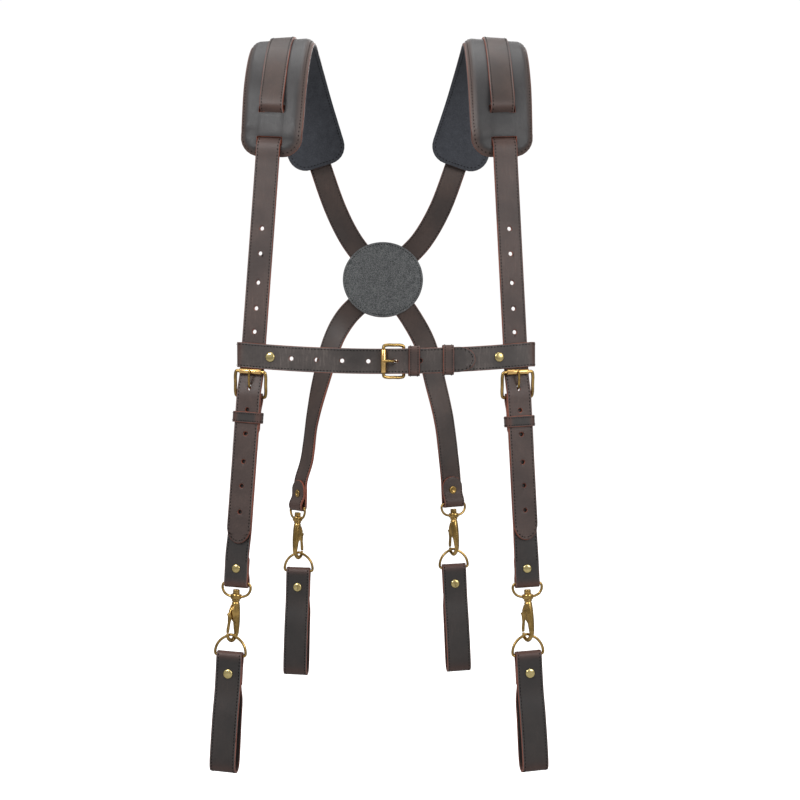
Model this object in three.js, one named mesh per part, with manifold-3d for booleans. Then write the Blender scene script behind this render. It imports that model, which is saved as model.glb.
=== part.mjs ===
// Leather suspenders that carry a tool belt: two padded shoulders, two front straps, two back straps that
// cross under a round patch, a buckled chest strap, and four hangers, each a swivel snap hook with a D-ring
// and a belt loop. Millimetres. The origin is midway between the undersides of the two shoulder arches.
// +Z is up, -Y is the wearer's front, and "left" is the -X side.
import * as THREE from "three";
import { mergeVertices } from "three/addons/utils/BufferGeometryUtils.js";
import Module from "manifold-3d";

const wasm = await Module();
wasm.setup();

// Driving dimensions
const STRAP_WIDTH = 30;
const STRAP_THICK = 3;
const GAP = 0.3; // between pieces that touch
const LOWER_WIDTH = 29.4; // the folded lower ends, which sit inside the eyes
const LOOP_WIDTH = 32;
const LOOP_THICK = 2.8;
const HOLE_RADIUS = 2.5;
const HOLE_PITCH = 30.8;
const FIRST_HOLE = -241;
const FRONT_HOLES = 12;
const PRONG_HOLE = 6; // the hole of the front strap that the prong goes through
const PRONG_SLOT = { up: -431, stretch: 2.2 };
const CHEST_PITCH = 30.4;
const CHEST_FIRST_HOLE = -109;
const CHEST_HOLES = 7;
const CHEST_PRONG_HOLE = 4;
const FRONT_Y = -116; // the front straps' plane
const ROLLER_UP = -412;
const HEEL_DROP = 30; // from a vertical buckle's roller to its heel bar
const CHEST_HEEL_DROP = 24;
const CHEST_UP = -391.2;
const CHEST_RADIUS = 650; // the chest strap's curve round the body
const PAD = { width: 78, corner: 24, lining: 1.5, foam: 4.5, leather: 2.6, gap: 1 };
const PATCH = { width: 108, height: 101, up: -283, across: -3.5 };
const WIRE = { frame: 1.9, eye: 1.6, ring: 1.7 };
const EYE_TO_RIVET = 18;
const RING_TOP = -61.6; // below the eye's bar, where the D-ring hangs in the hook
const RING_BAR = -86;
const HOOK_THROAT = -4.3; // the middle of the hook's bend, across from the swivel axis

// Each side hangs a little differently, as the real one does.
const SIDES = {
  left: { sign: -1, top: 128.1, spread: 0.073, yaw: -14, crest: 125.5, back: 85, tail: -618, keeper: -467 },
  right: { sign: 1, top: 138.1, spread: 0.051, yaw: 14, crest: 137, back: 92, tail: -613, keeper: -471 },
};

// Each hanger: where the eye's bar is, and how the strap's end, the hook and the ring are turned about Z.
const HANGERS = {
  front_left: { at: [-176.4, -114, -664.8], yaw: -14, hook: 44, ring: -12, face: -1, lean: 3 },
  front_right: { at: [172, -114, -664.8], yaw: 8, hook: -44, ring: 12, face: -1, lean: -3 },
  back_left: { at: [-118, 112, -588.8], yaw: -54, hook: 228, ring: -8, face: 1, lean: 1.4 },
  back_right: { at: [91, 112, -584], yaw: 26, hook: -48, ring: 8, face: 1, lean: -2.6 },
};

const LEATHER = { color: 0x4a3a33, roughness: 0.55, metalness: 0 };
const DARK_LEATHER = { color: 0x33302e, roughness: 0.5, metalness: 0 };
const PAD_LEATHER = { color: 0x5a5654, roughness: 0.55, metalness: 0 };
const SUEDE = { color: 0x3c4048, roughness: 0.95, metalness: 0 };
const FOAM = { color: 0x2a2a2a, roughness: 1, metalness: 0 };
const BRASS = { color: 0x9a7a3c, roughness: 0.35, metalness: 1 };
const PALE_BRASS = { color: 0xc8b47d, roughness: 0.3, metalness: 1 };

const root = new THREE.Group();
const rad = THREE.MathUtils.degToRad;
const vector = (x, y, z) => new THREE.Vector3(x, y, z);

function mesh(name, geometry, finish, parent = root) {
  const made = new THREE.Mesh(geometry, new THREE.MeshStandardMaterial(finish));
  made.name = name;
  parent.add(made);
  return made;
}

// A frame at a point, turned about Z by yaw and then leaned in the XZ plane, in degrees.
function frameAt([x, y, z], yaw, lean = 0) {
  return new THREE.Matrix4()
    .makeRotationY(rad(lean))
    .multiply(new THREE.Matrix4().makeRotationZ(rad(yaw)))
    .setPosition(x, y, z);
}

function groupAt(matrix, parent = root) {
  const group = new THREE.Group();
  group.applyMatrix4(matrix);
  parent.add(group);
  return group;
}

// --- joining and cutting -------------------------------------------------------------------------

function solid(geometry) {
  const bare = geometry.clone();
  bare.deleteAttribute("normal");
  bare.deleteAttribute("uv");
  const merged = mergeVertices(bare, 1e-4);
  return new wasm.Manifold(
    new wasm.Mesh({
      numProp: 3,
      vertProperties: merged.attributes.position.array,
      triVerts: Uint32Array.from(merged.index.array),
    }),
  );
}

function surface(made) {
  const { vertProperties, triVerts } = made.getMesh();
  return new THREE.BufferGeometry()
    .setAttribute("position", new THREE.BufferAttribute(vertProperties, 3))
    .setIndex(new THREE.BufferAttribute(triVerts, 1));
}

const cut = (geometry, tools) =>
  surface(tools.reduce((made, tool) => made.subtract(solid(tool)), solid(geometry)));

const join = (geometry, pieces) =>
  surface(pieces.reduce((made, piece) => made.add(solid(piece)), solid(geometry)));

// A round punch along a frame's Y axis, through the point (across, up).
function punch(frame, across, up, radius = HOLE_RADIUS, stretch = 1) {
  return new THREE.CylinderGeometry(radius, radius, 24, 6)
    .scale(1, 1, stretch)
    .translate(across, 0, up)
    .applyMatrix4(frame);
}

// --- straps --------------------------------------------------------------------------------------

// One stop of a strap's route, in a frame: out is towards the face that shows.
function stop(frame, face, out, up, across = 0, flip = 1) {
  const at = vector(across, face * out, up).applyMatrix4(frame);
  const side = vector(flip, 0, 0).transformDirection(frame);
  return { at, across: side };
}

// A smooth line through the stops, with a local frame at every t from 0 to 1.
function routeOf(stops) {
  const line = new THREE.CatmullRomCurve3(stops.map((s) => s.at), false, "centripetal");
  const sides = new THREE.CatmullRomCurve3(stops.map((s) => s.across), false, "centripetal");
  const divisions = 2400;
  line.arcLengthDivisions = divisions;
  const lengths = line.getLengths(divisions);
  return {
    spans: stops.length - 1,
    total: lengths[divisions],
    distance: (t) => lengths[Math.round(t * divisions)],
    timeAt: (distance) => line.getUtoTmapping(0, distance),
    frame(t) {
      const at = line.getPoint(t);
      const along = line.getTangent(t);
      const across = sides.getPoint(t);
      across.addScaledVector(along, -across.dot(along)).normalize();
      return { at, along, across, out: along.clone().cross(across) };
    },
  };
}

// Half a strap's width at a distance from an end whose corners are rounded.
function halfWidth(width, corner, distance) {
  if (distance >= corner) return width / 2;
  return width / 2 - corner + Math.sqrt(corner ** 2 - (corner - distance) ** 2);
}

// A flat strap bent along a route. offset lifts it off the route's line, towards its outer face.
function strap(route, { width, thick, offset = 0, rows = 1, columns = 1, startCorner = 0, endCorner = 0 }) {
  const times = new Set();
  for (let row = 0; row <= rows * route.spans; row++) times.add(row / (rows * route.spans));
  for (let step = 0; step < 4; step++) {
    const part = 1 - Math.cos(rad(step * 22.5));
    if (startCorner) times.add(route.timeAt(startCorner * part));
    if (endCorner) times.add(route.timeAt(route.total - endCorner * part));
  }
  const stations = [...times].sort((a, b) => a - b).filter((t, i, all) => !i || t - all[i - 1] > 1e-4);
  const geometry = new THREE.BoxGeometry(1, 1, 1, columns, 1, stations.length - 1);
  const position = geometry.attributes.position;
  const frames = stations.map((t) => route.frame(t));
  for (let i = 0; i < position.count; i++) {
    const row = Math.round((position.getZ(i) + 0.5) * (stations.length - 1));
    const distance = route.distance(stations[row]);
    const half = Math.min(
      halfWidth(width, startCorner, distance),
      halfWidth(width, endCorner, route.total - distance),
    );
    const { at, across, out } = frames[row];
    const point = at
      .clone()
      .addScaledVector(across, -2 * position.getX(i) * Math.max(half, 1))
      .addScaledVector(out, position.getY(i) * thick + offset);
    position.setXYZ(i, point.x, point.y, point.z);
  }
  return turnOutwards(geometry);
}

// Reverses every face of a geometry that was mapped inside out.
function turnOutwards(geometry) {
  if (solid(geometry).volume() > 0) return geometry;
  const index = geometry.index.array;
  for (let i = 0; i < index.length; i += 3) [index[i + 1], index[i + 2]] = [index[i + 2], index[i + 1]];
  return geometry;
}

// --- wires and rods ------------------------------------------------------------------------------

// A closed ring of wire through points in the XZ plane.
function wireRing(points, radius, segments = 28, sides = 6) {
  const curve = new THREE.CatmullRomCurve3(points.map(([x, z]) => vector(x, 0, z)), true, "centripetal");
  return turnOutwards(new THREE.TubeGeometry(curve, segments, radius, sides, true));
}

// A rod through [x, z, radius] stops in the XZ plane, with flat ends.
function rod(stops, { sides = 6, rows = 1 } = {}) {
  const line = new THREE.CatmullRomCurve3(stops.map(([x, z]) => vector(x, 0, z)), false, "centripetal");
  const radii = new THREE.CatmullRomCurve3(stops.map(([, , radius]) => vector(radius, 0, 0)));
  const steps = rows * (stops.length - 1);
  const geometry = new THREE.CylinderGeometry(1, 1, 1, sides, steps);
  const position = geometry.attributes.position;
  const binormal = vector(0, 1, 0);
  for (let i = 0; i < position.count; i++) {
    const t = position.getY(i) + 0.5;
    const normal = line.getTangent(t).cross(binormal);
    const radius = radii.getPoint(t).x;
    const point = line
      .getPoint(t)
      .addScaledVector(normal, position.getX(i) * radius)
      .addScaledVector(binormal, position.getZ(i) * radius);
    position.setXYZ(i, point.x, point.y, point.z);
  }
  return turnOutwards(geometry);
}

// A turned piece: [radius, height] points, spun about Z.
function turned(profile, sides) {
  return turnOutwards(
    new THREE.LatheGeometry(profile.map(([r, h]) => new THREE.Vector2(r, h)), sides).rotateX(Math.PI / 2),
  );
}

// A flat plate in the XZ plane, centred on Y.
function plate(points, thick) {
  const shape = new THREE.Shape(points.map(([x, z]) => new THREE.Vector2(x, z)));
  return new THREE.ExtrudeGeometry(shape, { depth: thick, bevelEnabled: false })
    .translate(0, 0, -thick / 2)
    .rotateX(Math.PI / 2);
}

// --- rivets --------------------------------------------------------------------------------------

const SHANK = 1.6;

// A rivet along a frame's Y axis: a domed cap in front (-Y) and a flat washer behind.
function rivet(name, parent, { across, up, front, back, cap = 5.8 }) {
  const profile = [
    [0, front - 1.7],
    [cap * 0.7, front - 1.3],
    [cap, front],
    [SHANK, front],
    [SHANK, back],
    [cap * 0.65, back],
    [0, back + 1.2],
  ];
  const geometry = turned(profile, 8).rotateX(-Math.PI / 2);
  mesh(name, turnOutwards(geometry), PALE_BRASS, parent).position.set(across, 0, up);
}

// --- roller buckles ------------------------------------------------------------------------------

const FRAME_WIDTH = 38.2; // between the wires' middles
const ROLLER = { inner: 2.4, outer: 3.3, length: 27 };
const ROLLER_OUT = 5; // in front of the strap's middle
const HEEL_OUT = -2;
const FOLD_RADIUS = 3.7; // a 3 mm strap round the heel bar, at its middle
const TAIL_OUT = 5.2; // the strap that comes out over the heel bar

// In the buckle's group, Z runs from the heel to the roller's side, and -Y faces the viewer.
function buckle(name, parent, drop) {
  const tilt = Math.atan2(ROLLER_OUT - HEEL_OUT, drop);
  const reach = Math.hypot(drop, ROLLER_OUT - HEEL_OUT);
  const group = new THREE.Group();
  group.position.set(0, -HEEL_OUT, -drop);
  group.rotation.x = tilt;
  parent.add(group);

  const half = FRAME_WIDTH / 2;
  const outline = [];
  for (const [x, z, inX, inZ] of [[half, 0, -1, 1], [half, reach, -1, -1], [-half, reach, 1, -1], [-half, 0, 1, 1]]) {
    const along = [[x + 5 * inX, z], [x + 1.2 * inX, z + 0.6 * inZ], [x, z + 5 * inZ]];
    outline.push(...(inX * inZ < 0 ? along : along.reverse()));
    if (inX * inZ > 0) continue;
    outline.push([x, reach / 2]);
  }
  mesh(name + "_frame", wireRing(ringOrder([...outline, [0, 0], [0, reach]]), WIRE.frame, 22, 6), BRASS, group);

  const { inner, outer, length } = ROLLER;
  const shell = [[inner, -length / 2], [outer, -length / 2], [outer, length / 2], [inner, length / 2]];
  const tube = turned([...shell, shell[0]], 10).rotateY(Math.PI / 2);
  mesh(name + "_roller", turnOutwards(tube), BRASS, group).position.set(0, 0, reach);

  mesh(name + "_prong", prong(drop, reach, tilt), BRASS, group);
}

// Puts points that lie round a centre in order of their angle.
function ringOrder(points) {
  const middle = points.reduce((sum, [x, z]) => [sum[0] + x / points.length, sum[1] + z / points.length], [0, 0]);
  const angle = ([x, z]) => Math.atan2(z - middle[1], x - middle[0]);
  return points.slice().sort((a, b) => angle(a) - angle(b));
}

// The prong: a sleeve round the heel bar and a bent tongue that rests on the roller.
function prong(drop, reach, tilt) {
  const lift = ROLLER.outer + 2;
  const stops = [
    [-1.4, 3, 1.4],
    [-1.2, 8.6, 1.4],
    [3.6, 12.6, 1.4],
    [lift + 0.3, 18.6, 1.4],
    [lift, reach - 0.5, 1.4],
    [lift - 0.6, reach + 3.6, 1.1],
  ];
  const tongue = rod(stops, { sides: 6, rows: 1 }).rotateZ(-Math.PI / 2);
  const sleeve = [[2.3, -2.4], [3.5, -2.4], [3.5, 2.4], [2.3, 2.4]];
  const wrap = turnOutwards(turned([...sleeve, sleeve[0]], 9).rotateY(Math.PI / 2));
  return join(wrap, [tongue]);
}

// --- the front: one plane on each side -----------------------------------------------------------

const front = {};
for (const [side, { sign, top, spread, yaw }] of Object.entries(SIDES)) {
  const lean = (-sign * Math.atan(spread) * 180) / Math.PI;
  front[side] = frameAt([sign * top, FRONT_Y, 0], yaw, lean);
}

// The four strap ends that fold round an eye's bar
const ends = {};
for (const [name, { at, yaw, lean }] of Object.entries(HANGERS)) ends[name] = frameAt(at, yaw, lean);

const BEND = 3.8; // a strap round an eye's bar, at its middle

// The stops of a strap that comes down in front of an eye's bar, folds under it and returns behind.
function foldStops(name, flip, flap = 36) {
  const { face } = HANGERS[name];
  const near = (out, up) => stop(ends[name], face, out, up, 0, flip);
  const turn = [0, 45, 90, 135, 180].map((angle) =>
    near(BEND * Math.cos(rad(angle)), -BEND * Math.sin(rad(angle))),
  );
  return [
    near(BEND, 34),
    near(BEND, 16),
    near(BEND, 4),
    ...turn,
    near(-BEND, 4),
    near(BEND - STRAP_THICK - GAP, 14),
    near(BEND - STRAP_THICK - GAP, 24),
    near(BEND - STRAP_THICK - GAP, flap),
  ];
}

function endRivet(name) {
  const group = groupAt(ends[name]);
  const turn = new THREE.Group();
  turn.rotation.z = HANGERS[name].face > 0 ? Math.PI : 0;
  group.add(turn);
  const front = -(BEND + STRAP_THICK / 2 + GAP);
  const back = 1.5 * STRAP_THICK + 2 * GAP - BEND;
  rivet(name + "_end_rivet", turn, { across: 0, up: EYE_TO_RIVET, front, back, cap: 5.2 });
}

const endPunch = (name) => punch(ends[name], 0, EYE_TO_RIVET, SHANK + 0.5);

// --- shoulder pads -------------------------------------------------------------------------------

const UNDER = 6.2; // how far the strap dips to pass under the pad's leather bridge
const PAD_OUT = PAD.lining + PAD.foam + PAD.leather + 2 * PAD.gap;
const RIDE = PAD_OUT + GAP + STRAP_THICK / 2; // the strap's middle on top of the pad
const ARCH = [
  // y, z, and the share of the way from the crest to the pad's end
  [-93, -66, 0.7],
  [-68, -29, 0.4],
  [-35, -6.5, 0.16],
  [0, 0, 0],
  [34, -6, 0.05],
  [63, -28, 0.2],
  [83, -62, 0.44],
  [93, -98, 0.72],
  [97, -133, 1],
];

function padRoute(side) {
  const { sign, crest, back } = SIDES[side];
  const bottom = stop(front[side], -1, -RIDE, -118, 0, -1);
  const stops = [
    stop(front[side], -1, -RIDE, -152, 0, -1),
    stop(front[side], -1, -RIDE, -135, 0, -1),
    bottom,
  ];
  for (const [y, z, share] of ARCH) {
    const end = y < 0 ? Math.abs(bottom.at.x) : back;
    const yaw = y < 0 ? -0.2 * sign * share : 0.17 * sign * share;
    stops.push({
      at: vector(sign * (crest + (end - crest) * share), y, z),
      across: vector(-1, yaw, 0.07 * sign * (1 - share)).normalize(),
    });
  }
  return routeOf(stops);
}

const padRoutes = { left: padRoute("left"), right: padRoute("right") };

// A stop on the pad's outer face: t along the pad, lifted by out.
function onPad(route, t, out) {
  const { at, across, out: up } = route.frame(t);
  return { at: at.clone().addScaledVector(up, out), across };
}

// The back strap: from under the front bridge, over the crest, down the pad's back and across.
const TWIST_FROM = 5; // the stop below the patch from which the strap turns towards its end's yaw
const CROSSING = {
  left: [
    [-66.9, 113, -189],
    [-46.7, 113, -229],
    [-25, 112.6, -258],
    [-3.5, 112.4, -283],
    [18, 112.6, -311],
    [36, 113, -337],
    [53.7, 113, -371],
    [67.9, 113, -425],
    [78.6, 113, -472],
    [85.4, 113, -526],
  ],
  right: [
    [72.6, 114, -189],
    [48, 116, -231],
    [22, 116.2, -258],
    [-3.5, 116.2, -283],
    [-29, 116.2, -309],
    [-52, 116, -332],
    [-69, 114, -361],
    [-86.5, 113, -418],
    [-98.6, 113, -472],
    [-106, 113, -526],
  ],
};

function backRoute(side) {
  const pad = padRoutes[side];
  const under = RIDE - UNDER;
  const shoulder = [
    stop(front[side], -1, -UNDER, -111, 0, -1),
    stop(front[side], -1, -UNDER, -103, 0, -1),
    stop(front[side], -1, 0, -88, 0, -1),
  ];
  for (const t of [0.28, 0.36, 0.44, 0.52, 0.6, 0.68, 0.76, 0.83]) shoulder.push(onPad(pad, t, RIDE));
  for (const t of [0.87, 0.895, 0.92]) shoulder.push(onPad(pad, t, under));
  shoulder.push(onPad(pad, 0.96, RIDE), onPad(pad, 1, RIDE));
  const end = side === "left" ? "back_right" : "back_left";
  const twist = HANGERS[end].yaw;
  const crossing = CROSSING[side].map(([x, y, z], i) => {
    const turn = rad(twist * THREE.MathUtils.clamp((i - TWIST_FROM) / 3, 0, 1));
    return { at: vector(x, y, z), across: vector(-Math.cos(turn), -Math.sin(turn), 0) };
  });
  return routeOf([...shoulder, ...crossing, ...foldStops(end, -1)]);
}

for (const side of Object.keys(SIDES)) {
  const end = side === "left" ? "back_right" : "back_left";
  const route = backRoute(side);
  const body = { width: LOWER_WIDTH, thick: STRAP_THICK, endCorner: 13 };
  const clearance = { width: STRAP_WIDTH + 1.5, endCorner: 0 };
  const channel = strap(route, { ...clearance, thick: STRAP_THICK + GAP });
  mesh("back_strap_from_" + side, cut(strap(route, body), [endPunch(end)]), LEATHER);

  const frontRoute = routeOf([
    stop(front[side], -1, -UNDER, -112),
    stop(front[side], -1, -UNDER, -119),
    stop(front[side], -1, 0, -135),
    ...[-160, -240, -320, -400, -414].map((up) => stop(front[side], -1, 0, up)),
    stop(front[side], -1, 2.4, -426),
    ...[-438, -452, -520].map((up) => stop(front[side], -1, TAIL_OUT, up)),
    stop(front[side], -1, TAIL_OUT, SIDES[side].tail),
  ]);
  const frontBody = { width: STRAP_WIDTH, thick: STRAP_THICK, endCorner: 13 };
  const frontChannel = strap(frontRoute, { ...clearance, thick: STRAP_THICK + GAP });
  const foamChannels = [route, frontRoute].map((r) => strap(r, { ...clearance, thick: 9, offset: 2.6 }));
  const holes = [];
  for (let hole = 0; hole < FRONT_HOLES; hole++) {
    const up = FIRST_HOLE - hole * HOLE_PITCH;
    if (hole !== PRONG_HOLE) holes.push(punch(front[side], 0, up));
  }
  holes.push(punch(front[side], 0, PRONG_SLOT.up, HOLE_RADIUS, PRONG_SLOT.stretch));
  mesh("front_strap_" + side, cut(strap(frontRoute, frontBody), holes), LEATHER);

  const pad = padRoutes[side];
  const layer = { width: PAD.width, columns: 3, rows: 2, startCorner: PAD.corner, endCorner: PAD.corner };
  const lining = strap(pad, { ...layer, thick: PAD.lining, offset: PAD.lining / 2 });
  const foam = strap(pad, {
    ...layer,
    width: PAD.width - 4,
    thick: PAD.foam,
    offset: PAD.lining + PAD.gap + PAD.foam / 2,
  });
  const leather = strap(pad, { ...layer, thick: PAD.leather, offset: PAD_OUT - PAD.leather / 2 });
  mesh("pad_lining_" + side, lining, SUEDE);
  mesh("pad_foam_" + side, cut(foam, foamChannels), FOAM);
  mesh("pad_leather_" + side, cut(leather, [channel, frontChannel]), PAD_LEATHER);
}

// --- the round patch where the back straps cross -------------------------------------------------

for (const [name, y, thick, finish] of [
  ["patch_suede", 109.2, 1.6, SUEDE],
  ["patch_leather", 119.6, 2.4, LEATHER],
]) {
  const disc = new THREE.CylinderGeometry(1, 1, thick, 32).scale(PATCH.width / 2, 1, PATCH.height / 2);
  mesh(name, disc, finish).position.set(PATCH.across, y, PATCH.up);
}

// --- lower front straps, buckles and keepers -----------------------------------------------------

const MAIN_OUT = HEEL_OUT + FOLD_RADIUS; // the lower strap's front layer

function keeper(name, parent, { outFront, outBack, up, long = 13, width = STRAP_WIDTH }) {
  const wall = 1.8;
  const half = width / 2 + 1;
  const outer = new THREE.Shape();
  const corner = 1.5;
  outer.moveTo(-half - wall + corner, -outFront - wall);
  outer.lineTo(half + wall - corner, -outFront - wall);
  outer.lineTo(half + wall, -outFront - wall + corner);
  outer.lineTo(half + wall, -outBack + wall - corner);
  outer.lineTo(half + wall - corner, -outBack + wall);
  outer.lineTo(-half - wall + corner, -outBack + wall);
  outer.lineTo(-half - wall, -outBack + wall - corner);
  outer.lineTo(-half - wall, -outFront - wall + corner);
  const inner = new THREE.Path();
  inner.moveTo(-half, -outFront);
  inner.lineTo(-half, -outBack);
  inner.lineTo(half, -outBack);
  inner.lineTo(half, -outFront);
  outer.holes.push(inner);
  const band = new THREE.ExtrudeGeometry(outer, { depth: long, bevelEnabled: false });
  mesh(name, band, LEATHER, parent).position.set(0, 0, up - long / 2);
}

for (const side of Object.keys(SIDES)) {
  const heelUp = ROLLER_UP - HEEL_DROP;
  const end = "front_" + side;
  const near = (out, up) => stop(front[side], -1, out, up, 0, -1);
  const top = [180, 135, 90, 45, 0].map((angle) =>
    near(HEEL_OUT + FOLD_RADIUS * Math.cos(rad(angle)), heelUp + FOLD_RADIUS * Math.sin(rad(angle))),
  );
  const back = MAIN_OUT - STRAP_THICK - GAP;
  const route = routeOf([
    near(back, heelUp - 46),
    near(back, heelUp - 30),
    near(back, heelUp - 16),
    near(HEEL_OUT - FOLD_RADIUS, heelUp - 5),
    ...top,
    near(MAIN_OUT, heelUp - 6),
    ...[-470, -520, -570, -605].map((up) => near(MAIN_OUT, up)),
    ...foldStops(end, -1),
  ]);
  const body = strap(route, { width: LOWER_WIDTH, thick: STRAP_THICK, startCorner: 8, endCorner: 8 });
  const slot = new THREE.BoxGeometry(6.4, 16, 15).translate(0, -HEEL_OUT, heelUp + 1).applyMatrix4(front[side]);
  mesh("lower_strap_" + side, cut(body, [slot, endPunch(end)]), DARK_LEATHER);

  const group = groupAt(front[side]);
  const hardware = new THREE.Group();
  hardware.position.z = ROLLER_UP;
  group.add(hardware);
  buckle("buckle_" + side, hardware, HEEL_DROP);
  keeper("keeper_" + side, group, {
    outFront: TAIL_OUT + STRAP_THICK / 2 + GAP,
    outBack: back - STRAP_THICK / 2 - GAP,
    up: SIDES[side].keeper,
  });
}
for (const name of Object.keys(HANGERS)) endRivet(name);

// --- chest strap ---------------------------------------------------------------------------------

const CHEST_CLEAR = 0.9; // between the chest strap's loops and the front straps, which slide
const CHEST_Y = FRONT_Y - STRAP_THICK - CHEST_CLEAR; // the chest strap's middle where it crosses the front straps
const CHEST_CENTRE = CHEST_Y + CHEST_RADIUS * Math.cos(rad(SIDES.right.yaw));
const CHEST_SAG = 8;

// A frame on the chest strap's curve at x, with Z running towards -X and -Y outwards.
function chestFrame(x) {
  const angle = Math.asin(x / CHEST_RADIUS);
  const sag = CHEST_SAG * (1 - (x / 165) ** 2);
  const out = vector(Math.sin(angle), -Math.cos(angle), 0);
  const along = vector(-Math.cos(angle), -Math.sin(angle), 0);
  const across = out.clone().negate().cross(along);
  return new THREE.Matrix4()
    .makeBasis(across, out.clone().negate(), along)
    .setPosition(CHEST_RADIUS * Math.sin(angle), CHEST_CENTRE - CHEST_RADIUS * Math.cos(angle), CHEST_UP - sag);
}

const chestStop = (x, out) => stop(chestFrame(x), -1, out, 0);

const LOOP_DEEP = STRAP_THICK + CHEST_CLEAR; // half of a loop's depth, between the layers' middles

// The stops of a loop round a front strap, from the flap inside it to the chest strap's face.
function endLoop(sign, outer, flap) {
  const fold = outer - LOOP_DEEP;
  const round = [-90, -45, 0, 45, 90].map((angle) => {
    const beyond = -sign * LOOP_DEEP * Math.cos(rad(angle));
    return stop(chestFrame(sign * fold), -1, LOOP_DEEP * (Math.sin(rad(angle)) - 1), beyond);
  });
  return [
    chestStop(sign * flap, -STRAP_THICK - GAP),
    chestStop(sign * (flap + 9), -3.5),
    chestStop(sign * (flap + 17), -4.6),
    chestStop(sign * (flap + 23), -2 * LOOP_DEEP),
    chestStop(sign * (fold - 18), -2 * LOOP_DEEP),
    chestStop(sign * (fold - 3), -2 * LOOP_DEEP),
    ...round,
    chestStop(sign * (fold - 3), 0),
  ];
}

const CHEST_BUCKLE_X = 12; // the middle of the buckle
const chestBuckleFrame = chestFrame(CHEST_BUCKLE_X).multiply(
  new THREE.Matrix4().makeTranslation(0, 0, CHEST_HEEL_DROP / 2),
);
const chestNear = (out, along) => stop(chestBuckleFrame, -1, out, -along);

const billetRoute = routeOf([
  ...endLoop(-1, 176.4, 116),
  ...[-150, -130, -100, -70, -40, -18].map((x) => chestStop(x, 0)),
  chestNear(0, 1),
  chestNear(2.2, 10),
  chestNear(TAIL_OUT, 20.5),
  ...[36, 60].map((x) => chestStop(x, TAIL_OUT)),
  ...[86, 108].map((x) => chestStop(x, TAIL_OUT - 0.6)),
]);
const chestHoles = [];
for (let hole = 0; hole < CHEST_HOLES; hole++) {
  const x = CHEST_FIRST_HOLE + hole * CHEST_PITCH;
  if (hole !== CHEST_PRONG_HOLE) chestHoles.push(punch(chestFrame(x), 0, 0));
}
const chestProngHole = punch(chestBuckleFrame, 0, -13.5, HOLE_RADIUS, 2);
const chestRivets = { left: -135, right: 137.6 };
const chestPunch = (x) => punch(chestFrame(x), 0, 0, SHANK + 1);
mesh(
  "chest_billet",
  cut(strap(billetRoute, { width: STRAP_WIDTH, thick: STRAP_THICK, startCorner: 8, endCorner: 13 }), [
    ...chestHoles,
    chestProngHole,
    chestPunch(chestRivets.left),
  ]),
  DARK_LEATHER,
);

const chestBack = MAIN_OUT - STRAP_THICK - GAP;
const holderRoute = routeOf([
  chestStop(66, chestBack),
  chestStop(52, chestBack),
  chestNear(chestBack, CHEST_HEEL_DROP + 16),
  chestNear(HEEL_OUT - FOLD_RADIUS, CHEST_HEEL_DROP + 5),
  ...[180, 135, 90, 45, 0].map((angle) =>
    chestNear(
      HEEL_OUT + FOLD_RADIUS * Math.cos(rad(angle)),
      CHEST_HEEL_DROP - FOLD_RADIUS * Math.sin(rad(angle)),
    ),
  ),
  chestNear(MAIN_OUT, CHEST_HEEL_DROP + 6),
  ...[45, 60].map((x) => chestStop(x, MAIN_OUT)),
  ...[86, 110, 132, 152].map((x) => chestStop(x, x < 100 ? MAIN_OUT - 0.6 : 0)),
  ...endLoop(1, 181.6, 118).reverse(),
]);
const chestSlot = new THREE.BoxGeometry(6.4, 16, 15)
  .translate(0, -HEEL_OUT, -CHEST_HEEL_DROP + 1)
  .applyMatrix4(chestBuckleFrame);
mesh(
  "chest_buckle_strap",
  cut(strap(holderRoute, { width: LOWER_WIDTH, thick: STRAP_THICK, startCorner: 8, endCorner: 8 }), [
    chestSlot,
    chestPunch(chestRivets.right),
  ]),
  LEATHER,
);
buckle("chest_buckle", groupAt(chestBuckleFrame), CHEST_HEEL_DROP);
const stack = { outFront: TAIL_OUT + STRAP_THICK / 2 + GAP, outBack: chestBack - STRAP_THICK / 2 - GAP, up: 0 };
keeper("chest_fixed_keeper", groupAt(chestFrame(36)), { ...stack, outBack: HEEL_OUT - FOLD_RADIUS - 2 });
keeper("chest_free_keeper", groupAt(chestFrame(76)), { ...stack, outBack: MAIN_OUT - STRAP_THICK / 2 - 1.2 });
for (const [side, x] of Object.entries(chestRivets)) {
  rivet("chest_rivet_" + side, groupAt(chestFrame(x)), { across: 0, up: 0, front: -1.8, back: 10.2 });
}

// --- hangers: eye, snap hook, gate, D-ring and belt loop -----------------------------------------

const BOSS = { radius: 6.2, hole: 2.7, top: -13, bottom: -19 };
const PIN = [-4.4, -30.5];

function eye() {
  const half = [
    [0, 0],
    [9, 0],
    [14.5, 0],
    [17.2, -2.2],
    [17.6, -7],
    [14.6, -12.6],
    [9, -15.6],
    [4, -16],
  ];
  const other = half.slice(1).reverse().map(([x, z]) => [-x, z]);
  const wire = wireRing([...half, [0, -16], ...other], WIRE.eye, 20);
  const { radius, hole, top, bottom } = BOSS;
  const middle = (top + bottom) / 2;
  const collar = turned([[0, bottom], [radius, bottom], [radius + 0.5, middle], [radius, top], [0, top]], 8);
  const bore = new THREE.CylinderGeometry(hole, hole, 12, 8).rotateX(Math.PI / 2).translate(0, 0, middle);
  return cut(join(wire, [collar]), [bore]);
}

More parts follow.
